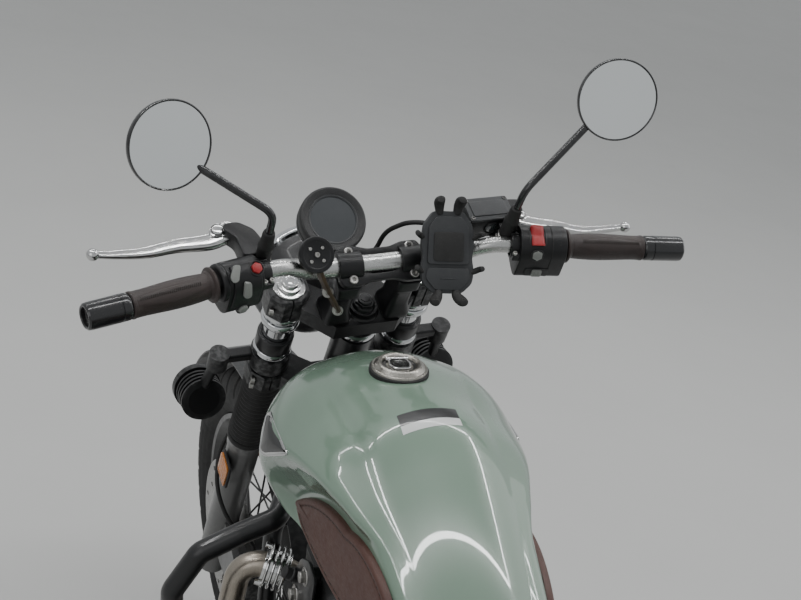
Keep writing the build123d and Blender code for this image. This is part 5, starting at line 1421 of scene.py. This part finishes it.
def dome(mesh, rings, place=Matrix()):
    # rings of (outline, height), closed in the middle
    made = [[mesh.verts.new(place @ Vector((p[0], p[1], height))) for p in loop] for loop, height in rings]
    skin(mesh, made)
    mesh.faces.new(made[-1])
    mesh.faces.new(list(reversed(made[0])))
    return mesh


def addKneePads():
    # stiff leather pad: rolled edge, then a face that swells a little
    thick = tankSizes["padThickness"]
    outline = arcLoop(tankSizes["pad"], 16)
    edge = [(outline, 0.15), (outline, thick - 5.0)]
    edge += [(insetLoop(outline, inset), thick - drop) for inset, drop in tankSizes["padEdge"]]
    inner = insetLoop(outline, 13.0)
    for scale, rise in ((1.0, 0.1), (0.9, 0.6), (0.75, 1.1), (0.55, 1.5), (0.3, 1.7), (0.08, 1.75)):
        edge.append((shrunkLoop(inner, scale), thick + rise))
    mesh = newMesh()
    dome(mesh, edge, kneePlace)
    made = piece("kneePads", withMirror(mesh), "padLeather", "chassis", replaces=["knee_pads"],
            sharp=50.0)
    thread = newMesh()
    seam = insetLoop(outline, 9.2)
    for i in range(len(seam)):
        a, b = seam[i], seam[(i + 1) % len(seam)]
        steps = [kneePlace @ Vector((a[0] + (b[0] - a[0]) * t, a[1] + (b[1] - a[1]) * t, thick - 1.3 + lift))
                for t, lift in ((0.12, 0), (0.3, 0.7), (0.66, 0.7), (0.84, 0))]
        sweepAlong(thread, steps, disc(0.42, 5))
    piece("padStitches", withMirror(thread), "stitching", "chassis")


addKneePads()

capSizes = {"y": 134.0, "base": 964.5, "top": 977.0, "radius": 37.0}


def addCap():
    c = capSizes
    place = moved(0, c["y"], 0) @ turned(x=-1.5)
    r, t = c["radius"], c["top"] + 3.4
    seal = newMesh()
    lathe(seal, [(r - 1, c["base"]), (r + 2.4, c["base"]), (r + 2.2, t - 9.6), (r + 0.8, t - 8.6),
            (r - 1, t - 8.4)], place, 72)
    piece("capSeal", seal, "rubber", "chassis")
    ring = newMesh()
    lathe(ring, [(r - 2, c["base"]), (r, c["base"] + 1), (r, t - 7.4), (r - 0.6, t - 6.0), (r - 1.6, t - 5.6),
            (r - 3.0, t - 5.8), (r - 3.6, t - 5.0), (r - 6.4, t - 2.0), (r - 7.4, t - 0.6), (r - 9.4, t),
            (r - 12.4, t - 0.4), (r - 13.4, t - 1.4), (r - 13.8, t - 4.6), (r - 14.6, t - 5.4), (r - 20, t - 5.6),
            (0, t - 5.6)], place, 96)
    piece("capRing", ring, "capNickel", "chassis", replaces=["filler_cap"], sharp=40.0)
    # painted shade: a dark ring laid in the corner of the recess, in the gap around the flap
    well = newMesh()
    lathe(well, [(r - 19.0, t - 5.5), (r - 14.8, t - 5.0), (r - 14.2, t - 4.4)], place, 72)
    piece("capWellShade", well, "labelDark", "chassis")
    flap = newMesh()
    outline = flat([(-11, -15), (11, -15), (16, -2), (12, 14), (-12, 14), (-16, -2)], 7, 6)
    dome(flap, [(outline, t - 5.4), (outline, t - 2.2), (insetLoop(outline, 0.8), t - 1.2),
            (insetLoop(outline, 2.2), t - 0.8), (shrunkLoop(outline, 0.6), t - 1.6),
            (shrunkLoop(outline, 0.3), t - 1.9)], place)
    lathe(flap, [(0, 15.5), (2.6, 15.5), (3.0, 14.9), (3.0, -14.9), (2.6, -15.5), (0, -15.5)],
            place @ moved(0, 14.5, t - 2.6) @ turned(y=90), 24)
    piece("capFlap", flap, "polished", "chassis", bevel=0.3)


addCap()


def roofSpot(x, y, lift):
    hit = tankTree.ray_cast(Vector((x, y, 1100)), Vector((0, 0, -1)))
    return hit[0] + hit[1] * lift


labelSizes = {"corners": [(-37, 47, 0), (44, 59, 0), (41, 22, 0), (-39, 10, 0)], "dark": 0.6, "lift": 0.3}


def addLabel():
    # blank two-tone label behind the cap
    corners = [Vector(p) for p in labelSizes["corners"]]
    split = labelSizes["dark"]
    for name, first, last, finish in (("blankLabelUpper", 0.0, split, "labelDark"),
            ("blankLabelLower", split, 1.0, "labelLight")):
        mesh = newMesh()
        grid = []
        for i in range(9):
            share = first + (last - first) * i / 8
            row = []
            for k in range(21):
                spot = corners[0].lerp(corners[1], k / 20).lerp(corners[3].lerp(corners[2], k / 20), share)
                row.append(mesh.verts.new(roofSpot(spot.x, spot.y, labelSizes["lift"])))
            grid.append(row)
        skin(mesh, grid, around=False)
        piece(name, mesh, finish, "chassis")


addLabel()

plateSizes = {"outline": [(214, 890), (200, 906), (98, 902), (92, 888), (146, 850), (168, 846)], "round": 12,
        "field": 7.5, "beside": 175, "shrink": (1.0, 0.85, 0.7, 0.55, 0.4, 0.25, 0.1)}


def layOnTank(mesh, layers):
    # rows of vertices at a height over the tank's side, from loops in (y, z)
    rings = []
    for loop, lift in layers:
        hits = [tankTree.find_nearest(Vector((plateSizes["beside"], y, z))) for y, z in loop]
        rings.append([mesh.verts.new(hit[0] + hit[1] * lift) for hit in hits])
    return rings


def addSidePlates():
    # plain plates on both sides of the tank
    shape = flat(plateSizes["outline"], plateSizes["round"], 6)
    mesh = newMesh()
    layers = [(shape, -1.0), (shape, 1.2), (insetLoop(shape, 0.8), 2.2), (insetLoop(shape, 2.6), 2.4),
            (insetLoop(shape, 3.4), 1.6)]
    inner = insetLoop(shape, 4.4)
    layers += [(shrunkLoop(inner, share), 1.2) for share in plateSizes["shrink"]]
    rings = layOnTank(mesh, layers)
    skin(mesh, rings)
    mesh.faces.new(rings[-1])
    piece("tankSidePlates", withMirror(mesh), "polished", "chassis", sharp=40.0)
    field = newMesh()
    inner = insetLoop(shape, plateSizes["field"])
    rings = layOnTank(field, [(shrunkLoop(inner, share), 1.9) for share in plateSizes["shrink"]])
    skin(field, rings)
    field.faces.new(rings[-1])
    piece("tankPlateFields", withMirror(field), "labelDark", "chassis")


addSidePlates()
print("stage: tank fittings")

rearSpot = bike.inverted() @ Vector(rearSpin["pos_m"])
seatSizes = {
    # share of the length, height over the rails, half width below, half width at the shoulder, shoulder height
    "sections": [(0.0, 74.0, 92.0, 80.0, 48.0), (0.16, 70.0, 118.0, 106.0, 46.0), (0.5, 66.0, 124.0, 112.0, 42.0),
                 (0.82, 84.0, 114.0, 98.0, 56.0), (0.985, 92.0, 92.0, 72.0, 60.0)],
    "front": -270.0, "overhang": 52.4, "railFront": (-300.0, 752.0), "railRear": 772.0, "over": 12.2,
    "channels": 7, "firstChannel": -330.0, "pitch": 36.0, "depth": 5.0, "groove": 4.2, "flatHalf": 92.0,
    "fade": 14.0,
    "voxel": 6.0, "pressure": 4.0, "swell": 7.0, "held": 9.0, "stitch": 5.6, "piping": 2.1,
}


def railHeight(y):
    front = seatSizes["railFront"]
    corner = rearSpot.y - seatSizes["overhang"] + 52
    return front[1] + (front[0] - y) * (seatSizes["railRear"] - front[1]) / (front[0] - corner)


def plump(mesh, place, sizes, held):
    # pressure from inside swells the cover as its filling does
    bmesh.ops.recalc_face_normals(mesh, faces=mesh.faces)
    bmesh.ops.transform(mesh, matrix=place, verts=mesh.verts)
    made = placeInScene("filling", mesh)
    even = made.modifiers.new("even", "REMESH")
    even.mode = "VOXEL"
    even.voxel_size = sizes["voxel"] * 0.001
    grown = evaluated(made)
    made.modifiers.clear()
    made.data = grown
    back = place.inverted()
    start = [vert.co.copy() for vert in grown.vertices]
    group = made.vertex_groups.new(name="held")
    group.add([i for i, spot in enumerate(start) if held(back @ spot)], 1.0, "REPLACE")
    cloth = made.modifiers.new("cloth", "CLOTH")
    cloth.settings.use_pressure = True
    cloth.settings.uniform_pressure_force = sizes["pressure"]
    cloth.settings.effector_weights.gravity = 0.0
    cloth.settings.vertex_group_mass = "held"
    for step in range(1, 21):
        bpy.context.scene.frame_set(step)
    shown = made.evaluated_get(bpy.context.evaluated_depsgraph_get())
    limit = sizes["swell"] * 0.001
    for vert, spot, first in zip(grown.vertices, shown.data.vertices, start):
        move = spot.co - first
        vert.co = first + (move * (limit / move.length) if move.length > limit else move)
    made.modifiers.clear()
    bpy.context.scene.frame_set(1)
    fine = made.modifiers.new("fine", "SUBSURF")
    fine.levels = fine.render_levels = 1
    result = bmesh.new()
    result.from_mesh(evaluated(made))
    bpy.data.objects.remove(made)
    bmesh.ops.transform(result, matrix=place.inverted(), verts=result.verts)
    return result


def addSeat():
    s = seatSizes
    end = rearSpot.y - s["overhang"]
    table = [(s["front"] + (end - s["front"]) * row[0], *row[1:]) for row in s["sections"]]
    mesh = newMesh()
    rings = []
    guide = []
    for i in range(37):
        y = s["front"] - 2 + (table[-1][0] + 3 - s["front"] + 2) * i / 36
        height, low, half, shoulder = fromTable(table, y)
        base = railHeight(y) + s["over"]
        height, low, half = height - 5, low - 4, half - 4
        side = arcThrough((low, base), (low + 6, base + shoulder * 0.45), (half, base + shoulder),
                [k / 12 for k in range(13)])
        top = arcThrough((half, base + shoulder), (0, base + height), (-half, base + shoulder),
                [k / 24 for k in range(1, 24)])
        ring = side + top + [(-x, z) for x, z in reversed(side)]
        rings.append([mesh.verts.new((x, y, z)) for x, z in ring])
        guide.append(Vector((half + 3, y, base + shoulder + 1)))
    skin(mesh, rings)
    mesh.faces.new(rings[0])
    mesh.faces.new(rings[-1])
    cover = plump(mesh, bike, s, lambda spot: spot.z < railHeight(spot.y) + s["over"] + s["held"])
    cover.normal_update()
    # sewn channels across the seat, and a seam along its shoulder
    for vert in cover.verts:
        x, y, z = vert.co
        if vert.normal.z > 0.25 and abs(x) < s["flatHalf"]:
            fade = min(1.0, (s["flatHalf"] - abs(x)) / s["fade"])
            for k in range(s["channels"]):
                off = y - (s["firstChannel"] - k * s["pitch"])
                if abs(off) < 14:
                    vert.co.z -= s["depth"] * math.exp(-(off / s["groove"]) ** 2) * fade
    tree = BVHTree.FromBMesh(cover)
    made = piece("seatCover", cover, "seatLeather", "chassis", replaces=["seat"], sharp=60.0)
    seam = newMesh()
    last = guide[-1]
    half = guide[1:] + [Vector((last.x * math.cos(a), last.y - 10 * math.sin(a), last.z))
            for a in (0.35, 0.8, 1.25, 1.57)]
    loop = half + [Vector((-p.x, p.y, p.z)) for p in reversed(half[:-1])]
    sweepAlong(seam, [tree.find_nearest(p)[0] for p in loop], disc(s["piping"], 10))
    piece("seatPiping", seam, "seatLeather", "chassis")
    thread = newMesh()
    for k in range(s["channels"]):
        y = s["firstChannel"] - k * s["pitch"]
        for i in range(-15, 16):
            steps = []
            for shift, lift in ((-2.1, 0.0), (-1.2, 0.7), (1.2, 0.7), (2.1, 0.0)):
                hit = tree.ray_cast(Vector((i * s["stitch"] + shift, y, 1000)), Vector((0, 0, -1)))
                steps.append(hit[0] + Vector((0, 0, lift)))
            sweepAlong(thread, steps, disc(0.5, 5))
    piece("seatStitches", thread, "stitching", "chassis")
    pan = newMesh()
    shape = [(spot.x + 2, spot.y) for spot in guide] + [(-spot.x - 2, spot.y) for spot in reversed(guide)]
    low = [pan.verts.new((x, y, railHeight(y) + s["over"] + 0.2)) for x, y in shape]
    high = [pan.verts.new((x * 1.01, y, railHeight(y) + s["over"] + 6)) for x, y in shape]
    pan.faces.new(list(reversed(low)))
    pan.faces.new(high)
    skin(pan, [low, high])
    piece("seatPan", pan, "mouldedBlack", "chassis", bevel=1.5)


addSeat()
print("stage: seat")

engineSizes = {
    # x, y, z, radius, bolts, raised part
    "covers": [(-140.0, 120.0, 370.0, 88.0, 8, 0.62), (150.1, -20.0, 376.0, 100.0, 10, 0.55),
               (140.1, 135.0, 340.0, 60.0, 5, 0.6)],
    "lid": (70.0, 105.0, 708.0),
}
headerSizes = {"bend": (72.0, 266.0, 574.0), "next": (154.0, 296.0, 592.0), "fins": (24.0, 32.5, 41.0, 49.5),
        "radius": 34.0, "pipe": 19.0}


def addEngineDetail():
    raised = newMesh()
    bolts = newMesh()
    trim = newMesh()
    for x, y, z, radius, count, share in engineSizes["covers"]:
        place = moved(x, y, z) @ turned(y=90 if x > 0 else -90)
        r = radius * share
        lathe(raised, [(0, 5.6), (r * 0.42, 5.6), (r * 0.5, 3.6), (r * 0.86, 4.6), (r * 0.94, 4.0), (r, 1.4),
                (r + 1, -1)], place, 72)
        lathe(trim, [(r * 0.40, 5.8), (r * 0.36, 6.6), (r * 0.1, 7.2), (0, 7.2)], place, 48)
        for k in range(count):
            spot = place @ turned(z=360 * k / count + 12) @ moved(radius - 15, 0, -1.0)
            lathe(raised, [(0, 2.2), (8.4, 2.2), (10.2, 0.6), (10.6, -4)], spot, 24)
            socketBolt(bolts, spot @ moved(0, 0, 2.0), 5.2, 5.6)
    x, y, z = engineSizes["lid"]
    for a in (-1, 1):
        for b in (-1, 1):
            hexBolt(bolts, moved(a * x, y + b * 52, z - 0.4), 7.5, 6.0)
        # plug caps at the outer side of each cylinder
        cap = moved(a * 96, y + 40, 655) @ turned(y=a * 62)
        lathe(raised, [(0, 40), (7.5, 40), (8.6, 38.6), (8.6, 30), (10.2, 29), (10.2, 25), (8.8, 24), (8.8, 12),
                (11.6, 10), (11.6, -8)], cap, 32)
    # ribs over the rocker cover
    for k in range(-3, 4):
        rib = flat([(k * 20 - 2.6, y - 62), (k * 20 + 2.6, y - 62), (k * 20 + 2.6, y + 62), (k * 20 - 2.6, y + 62)],
                2.4, 4)
        prism(raised, rib, z - 1, z + 3.4)
    piece("engineRaised", raised, "castBlack", "chassis", bevel=0.7)
    piece("engineBolts", bolts, "zincSteel", "chassis")
    piece("engineTrim", trim, "polished", "chassis")
    # mounting plates beside the head, with their flange bolts
    plates = newMesh()
    flange = newMesh()
    shape = flat([(156, 618), (158, 662), (128, 706), (92, 726), (60, 716), (66, 652)], 10, 5)
    prism(plates, shape, 110, 114.5, sideways(-1))
    for spot in ((101, 695), (138, 640)):
        at = moved(-110.5, *spot) @ turned(y=-90)
        lathe(plates, [(13, -14), (13, 0), (0, 0)], at, 36)
        lathe(flange, [(0, 4.0), (9.5, 4.0), (11.8, 5.6), (13.0, 5.2), (13.2, 3.8), (13.0, 3.0)], at, 36)
        prism(flange, disc(8.6, 6), 4.6, 12.4, at)
        lathe(flange, [(0, 13.0), (5.4, 13.0), (7.4, 12.2), (0, 12.2)], at, 32)
    piece("headPlates", withMirror(plates), "frameBlack", "chassis", bevel=1.0)
    piece("headPlateBolts", withMirror(flange), "zincSteel", "chassis", bevel=0.5)


addEngineDetail()


def addHeaderDetail():
    h = headerSizes
    fins = newMesh()
    start, aim = Vector(h["bend"]), Vector(h["next"])
    way = (aim - start).normalized()
    for reach in h["fins"]:
        place = facing(start + way * reach, way)
        r = h["radius"]
        lathe(fins, [(h["pipe"], -2.6), (h["pipe"] + 3, -2.6), (r - 2.4, -2.1), (r - 0.6, -1.5), (r, 0),
                (r - 0.6, 1.5), (r - 2.4, 2.1), (h["pipe"] + 3, 2.6), (h["pipe"], 2.6)], place, 64)
    place = facing(start + way * (h["fins"][0] - 6), way)
    long = h["fins"][-1] - h["fins"][0] + 12
    lathe(fins, [(h["pipe"] + 0.4, 0), (h["pipe"] + 6.4, 0), (h["pipe"] + 6.8, 1), (h["pipe"] + 6.8, long - 1),
            (h["pipe"] + 6.4, long), (h["pipe"] + 0.4, long)], place, 56)
    for angle in (60, 240):
        socketBolt(fins, place @ turned(z=angle) @ moved(h["radius"] - 6, 0, long - 4), 4.6, 9)
    piece("headerFins", withMirror(fins), "polished", "chassis")
    bands = newMesh()
    caps = newMesh()
    for side in (-1, 1):
        front, rear = Vector((side * 176, -335, 299)), Vector((side * 184, -820, 352))
        way = (rear - front).normalized()
        length = (rear - front).length
        place = facing(front, way)
        for reach, r in ((4, 22.6), (96, 42.8), (length - 66, 42.8)):
            lathe(bands, [(r - 2, -7), (r + 0.4, -7), (r + 1.2, -6), (r + 1.2, 6), (r + 0.4, 7), (r - 2, 7)],
                    place @ moved(0, 0, reach), 64)
        socketBolt(bands, place @ moved(0, 26, 4) @ turned(x=-90), 4, 5)
        r = 32.0
        lathe(caps, [(r - 5.6, length - 20), (r - 5.8, length + 0.2), (r - 4.6, length + 1.6),
                (r - 0.6, length + 1.4), (r + 1.0, length - 1.0), (r + 1.4, length - 4), (r + 0.9, length - 6)],
                place, 64)
        lathe(caps, [(13, length - 70), (13, length - 12), (14.2, length - 11), (16, length - 12),
                (26, length - 14), (26.4, length - 19)], place, 48)
    piece("silencerBands", bands, "zincSteel", "chassis")
    piece("silencerCaps", caps, "polished", "chassis")


addHeaderDetail()
print("stage: engine and exhaust")

tyreSizes = {
    "front": {"radius": 319.0, "half": 50.0, "rim": 233.0, "rimHalf": 32.0, "pitches": 40, "slant": 0.6,
    "depth": 3.6, "body": "front_wheel_set"},
    "rear": {"radius": 320.0, "half": 65.0, "rim": 220.0, "rimHalf": 44.0, "pitches": 36, "slant": 0.75,
    "depth": 4.2, "body": "rear_wheel_set"},
}


def addTyre(name):
    t = tyreSizes[name]
    shoulder = t["radius"] - t["half"]
    middle = ((t["half"] + t["rimHalf"]) / 2 + 4, (shoulder + t["rim"]) / 2)
    side = arcThrough((t["half"], shoulder), middle, (t["rimHalf"], t["rim"]), [k / 11 for k in range(1, 12)])
    right = []
    for share in (0.0, 0.035, 0.055, 0.11, 0.2, 0.28, 0.31, 0.42, 0.54, 0.66, 0.78, 0.86, 0.9, 0.95, 1.0):
        angle = share * math.pi / 2
        right.append((t["half"] * math.sin(angle), shoulder + t["half"] * math.cos(angle), share))
    right += [(x, r, 1.0) for x, r in side]
    profile = [(-x, r, share) for x, r, share in reversed(right[1:])] + right
    stations = ((0.0, 0), (0.16, 0), (0.2, 1), (0.34, 1), (0.38, 0), (0.7, 0))
    mesh = newMesh()
    rings = []
    for k in range(t["pitches"]):
        for step, cut in stations:
            ring = []
            for i, (x, r, share) in enumerate(profile):
                angle = math.tau * (k + step + t["slant"] * share ** 1.25) / t["pitches"]
                grooved = share < 0.04 or (cut and 0.19 < share < 0.91)
                deep = t["depth"] if grooved else 0.0
                rib = 0.7 if share == 1.0 and (i % 3) == 1 else 0.0
                outward = 1 if x > 0 else -1
                slope = share * math.pi / 2
                reach = r - deep * math.cos(slope)
                across = x - outward * deep * math.sin(slope) + outward * rib
                ring.append(mesh.verts.new((across, reach * math.cos(angle), reach * math.sin(angle))))
            rings.append(ring)
    skin(mesh, rings, around=False, back=True)
    piece(name + "TyreTread", mesh, "tyreRubber", t["body"], replaces=[name + "_tyre"],
            sharp=26.0)


for name in tyreSizes:
    addTyre(name)


wheelSizes = {
    # side of the wheel, then the radii of the rings of bolts
    "frontDisc": (-69.5, 115, 52), "rearDisc": (76.5, 90), "sprocket": (-82.2, 46),
    "spokes": 36, "rimBeds": {"front": 206.0, "rear": 193.0}, "nipple": 3.3, "axleNuts": 113,
}


def addWheelDetail():
    w = wheelSizes
    bolts = newMesh()
    side, outer, inner = w["frontDisc"]
    place = moved(side, 0, 0) @ turned(y=-90)
    for k in range(6):
        socketBolt(bolts, place @ turned(z=60 * k + 4) @ moved(outer, 6, 0), 4.4, 3.4)
        hexBolt(bolts, place @ turned(z=60 * k) @ moved(inner, 0, 0), 5.4, 3.6, washer=1.0)
    piece("frontDiscBolts", bolts, "zincSteel", "front_wheel_set")
    bolts = newMesh()
    side, outer = w["rearDisc"]
    place = moved(side, 0, 0) @ turned(y=90)
    for k in range(6):
        socketBolt(bolts, place @ turned(z=60 * k + 6) @ moved(outer, 6, 0), 4.4, 3.4)
    side, inner = w["sprocket"]
    place = moved(side, 0, 0) @ turned(y=-90)
    for k in range(6):
        hexBolt(bolts, place @ turned(z=60 * k) @ moved(inner, 0, 0), 5.4, 3.6, washer=1.0)
    piece("rearDiscBolts", bolts, "zincSteel", "rear_wheel_set")
    for end, reach in w["rimBeds"].items():
        mesh = newMesh()
        for i in range(w["spokes"]):
            side = -1 if i % 2 else 1
            angle = math.tau * i / w["spokes"]
            way = Vector((0, math.cos(angle), math.sin(angle)))
            tube(mesh, [way * (reach - 8) + Vector((side * 5.6, 0, 0)),
                    way * (reach + 2) + Vector((side * 5.0, 0, 0))], w["nipple"], sides=8)
        tube(mesh, [Vector((10, 0, reach + 2)), Vector((12, 4, reach - 30))], 4.0, sides=14)
        piece(end + "SpokeNipples", mesh, "zincSteel", tyreSizes[end]["body"])
    nuts = newMesh()
    for side in (-1, 1):
        place = Matrix.Translation(rearSpot) @ moved(side * w["axleNuts"], 0, 0) @ turned(y=side * 90)
        hexBolt(nuts, place, 14, 10, washer=2)
    piece("rearAxleNuts", nuts, "zincSteel", "chassis")


addWheelDetail()
print("stage: wheels")

reflectorSizes = {"leg": (100.0, 40.0), "reflector": (-134.0, 22.0, -426.0), "half": (21.0, 29.0),
        "pinch": (-8.0, -174.0, -187.0)}


def addYokeBoltsAndReflectors():
    f = reflectorSizes
    across, along = f["leg"]
    bolts = newMesh()
    backing = newMesh()
    lens = newMesh()
    for level in f["pinch"]:
        socketBolt(bolts, moved(-across - 24, along - 22, level) @ turned(y=-90) @ turned(x=-18), 4.6, 6.0)
    wide, tall = f["half"]
    outline = oblong(wide, tall, 6, 5)
    place = moved(*f["reflector"]) @ sideways(-1)
    prism(backing, outline, -5.0, -0.6, place)
    tube(backing, [Vector((-across - 24, along - 4, f["reflector"][2])),
            Vector((f["reflector"][0] + 4, f["reflector"][1] + 4, f["reflector"][2]))], 5.0, sides=16)
    small = [(x * 0.86, y * 0.9) for x, y in outline]
    prism(lens, small, -0.8, 2.2, place)
    for row in range(-4, 5):
        for column in range(-2, 3):
            at = place @ moved(column * 6.2, row * 5.4, 2.0) @ turned(z=45)
            block(lens, (3.6, 3.6, 1.0), at)
    piece("yokeBolts", withMirror(bolts), "zincSteel", "steering")
    piece("reflectorBacks", withMirror(backing), "mouldedBlack", "steering", bevel=0.8)
    piece("reflectorLenses", withMirror(lens), "amberLens", "steering", bevel=0.4)


addYokeBoltsAndReflectors()

coverSizes = {"outline": [(-85, 722), (-100, 560), (-140, 520), (-205, 545), (-212, 640), (-212, 722)],
        "middle": (-152.0, 636.0), "out": 133.0, "edge": 14.0, "louvres": 4, "screw": (-150.0, 700.0)}


def addSideCovers():
    c = coverSizes
    outwards = sideways(1)
    middle = Vector(c["middle"])
    inner = []
    for y, z in c["outline"]:
        away = Vector((y, z)) - middle
        inner.append(tuple(middle + away * (1 - c["edge"] / away.length)))
    panel = newMesh()
    prism(panel, flat(inner, 14, 6), c["out"] - 1, c["out"] + 3.4, outwards)
    piece("sideCoverPanels", withMirror(panel), "tankPaint", "chassis", bevel=1.6)
    trim = newMesh()
    for k in range(c["louvres"]):
        z = 568 + 17 * k
        rib = flat([(-188, z), (-188, z - 6), (-124, z - 6), (-124, z)], 2.9, 5)
        prism(trim, rib, c["out"] + 2.6, c["out"] + 5.6, outwards)
    edge = [Vector((c["out"] - 3.2, y, z)) for y, z in flat(c["outline"], 5, 4)]
    sweepAlong(trim, edge, disc(2.6, 10), closed=True)
    piece("sideCoverTrim", withMirror(trim), "rubber", "chassis", bevel=0.6)
    screws = newMesh()
    place = moved(c["out"] + 3.2, *c["screw"]) @ turned(y=90)
    lathe(screws, [(0, 3.4), (6.4, 3.4), (8.2, 2.6), (8.6, 0.6), (8.6, -3)], place, 40)
    block(screws, (11.5, 2.0, 1.2), place @ turned(z=35) @ moved(0, 0, 3.6))
    piece("sideCoverScrews", withMirror(screws), "zincSteel", "chassis", bevel=0.4)


addSideCovers()

tailSizes = {"height": 772.0, "barHeight": 742.0, "barBack": 14.0, "bar": 8.0, "side": 86.0}


def addTailLamp():
    t = tailSizes
    back = rearSpot.y - seatSizes["overhang"] - 12.1
    place = facing((0, back, t["height"]), (0, -1, 0))
    shell = newMesh()
    lathe(shell, [(0, 0), (35.2, 0), (36, 0.8), (36, 7.4), (35.2, 9), (33.6, 10.4), (32.2, 10.4)], place, 64)
    level = Vector((0, back - t["barBack"], t["barHeight"]))
    tube(shell, [level - Vector((90, 0, 0)), level + Vector((90, 0, 0))], t["bar"], sides=24)
    red = newMesh()
    lathe(red, [(32.6, 8), (32.4, 12), (32, 15), (32, 20), (31.4, 20.6), (32, 21.2), (32, 27), (31.4, 27.6),
            (32, 28.2), (32, 38), (30, 41), (26, 45.4), (23.6, 46), (22.8, 45), (22, 46), (17, 46.2), (16.2, 45.2),
            (15.4, 46.2), (10, 46.4), (9.2, 45.4), (8.4, 46.4), (0, 46.4)], place, 64)
    amber = newMesh()
    for side in (-1, 1):
        at = moved(side * t["side"], level.y, level.z) @ turned(y=side * 90)
        lathe(shell, [(0, 0), (12.6, 0), (16.4, 3.8), (17, 5), (17, 17.4), (16.4, 18.6), (15.2, 18.6)], at, 48)
        lathe(amber, [(15.8, 17), (16, 19), (16.2, 24), (16.2, 29.6), (13, 33.4), (11, 34), (10.2, 33.2), (9.4, 34),
                (5, 34), (4.2, 33.2), (3.4, 34), (0, 34)], at, 48)
    piece("tailLampRed", red, "redLens", "chassis", replaces=["tail_lamp"])
    piece("tailLampShell", shell, "mouldedBlack", "chassis")
    piece("rearIndicators", amber, "amberLens", "chassis")


addTailLamp()

headlampSizes = {"spot": (0.0, 172.0, -150.0), "rake": -26.5, "ear": (100.0, 40.0), "earLevels": (-114.0, -86.0),
        "knob": (160.0, -152.0)}


def addHeadlamp():
    h = headlampSizes
    place = moved(*h["spot"]) @ turned(x=h["rake"]) @ turned(x=-90)
    bowl = newMesh()
    lathe(bowl, [(0, -78), (14, -77), (30, -73), (46, -66), (62, -52.5), (74, -34), (79.6, -16), (82, 0),
            (82.4, 3)], place, 88)
    low, high = h["earLevels"]
    forkX, forkY = h["ear"]
    knobY, knobZ = h["knob"]
    bolts = newMesh()
    for side in (-1, 1):
        lathe(bowl, [(20.8, low), (25.6, low), (27, low + 1.4), (27, high - 1.4), (25.6, high), (20.8, high),
                (20.8, low)], moved(side * forkX, forkY, 0), 56)
        tube(bowl, [Vector((side * (forkX - 4), forkY + 22, low + 14)), Vector((side * 93, knobY, knobZ))], 7.0,
                sides=24)
        tube(bowl, [Vector((side * 72, knobY, knobZ)), Vector((side * 101, knobY, knobZ))], 10.0, sides=32)
        hexBolt(bolts, moved(side * 101, knobY, knobZ) @ turned(y=side * 90), 6.5, 4.6, washer=1.4)
    piece("headlampBowl", bowl, "frameBlack", "steering", replaces=["headlamp"], bevel=0.5)
    piece("headlampBolts", bolts, "zincSteel", "steering")
    shine = newMesh()
    lathe(shine, [(81.6, 1), (86.6, 2.8), (88.2, 5.4), (88.2, 15.6), (86.8, 19.2), (82.4, 22.4), (78.6, 23.4),
            (76.8, 22.6), (76.4, 19.4)], place, 88)
    lathe(shine, [(76.6, 19.2), (74, 12), (68, 0), (58, -12), (44, -22), (28, -29), (14, -32), (13, -30), (0, -30)],
            place, 88)
    lathe(shine, [(9.5, -30), (10.4, -14), (10.4, -3), (8.6, 1), (5, 3.2), (0, 4)], place, 40)
    piece("headlampRim", shine, "chrome", "steering")
    lens = newMesh()
    lathe(lens, [(76.2, 19.6), (76.2, 21.4), (70, 24.4), (58, 27.8), (44, 30.6), (30, 32.4), (15, 33.6), (0, 34),
            (0, 31.4), (15, 31), (30, 29.8), (44, 28), (58, 25.2), (70, 21.6), (76.2, 19.6)], place, 88)
    piece("headlampLens", lens, "lampGlass", "steering", replaces=["headlamp_glass"])


addHeadlamp()

auxSizes = {"spot": (188.0, 58.0, -247.0), "bulbs": 4, "spread": 14.0}


def addAuxFaces():
    a = auxSizes
    shine = newMesh()
    glass = newMesh()
    for side in (-1, 1):
        x, y, z = a["spot"]
        place = moved(side * x, y, z) @ turned(x=headlampSizes["rake"]) @ turned(x=-90)
        lathe(shine, [(30.6, 20.1), (30.8, 22.6), (30.2, 23.8), (29.2, 23.4), (27, 21.0), (24, 20.5), (0, 20.4)],
                place, 56)
        for k in range(a["bulbs"]):
            spot = place @ turned(z=45 + 360 * k / a["bulbs"]) @ moved(a["spread"], 0, 0)
            lathe(shine, [(9.6, 20.4), (9.8, 22.4), (9.0, 22.4), (6.2, 20.9), (3.0, 20.8), (2.8, 21.8), (1.6, 22.3),
                    (0, 22.4)], spot, 32)
        lathe(glass, [(29.4, 22.6), (29.4, 23.8), (22, 24.5), (10, 25), (0, 25.1), (0, 23.9), (10, 23.8),
                (22, 23.3), (29.4, 22.6)], place, 56)
    piece("auxReflectors", shine, "chrome", "steering")
    piece("auxGlass", glass, "lampGlass", "steering")


addAuxFaces()
print("stage: reflectors, covers and lamps")

bpy.context.view_layer.update()
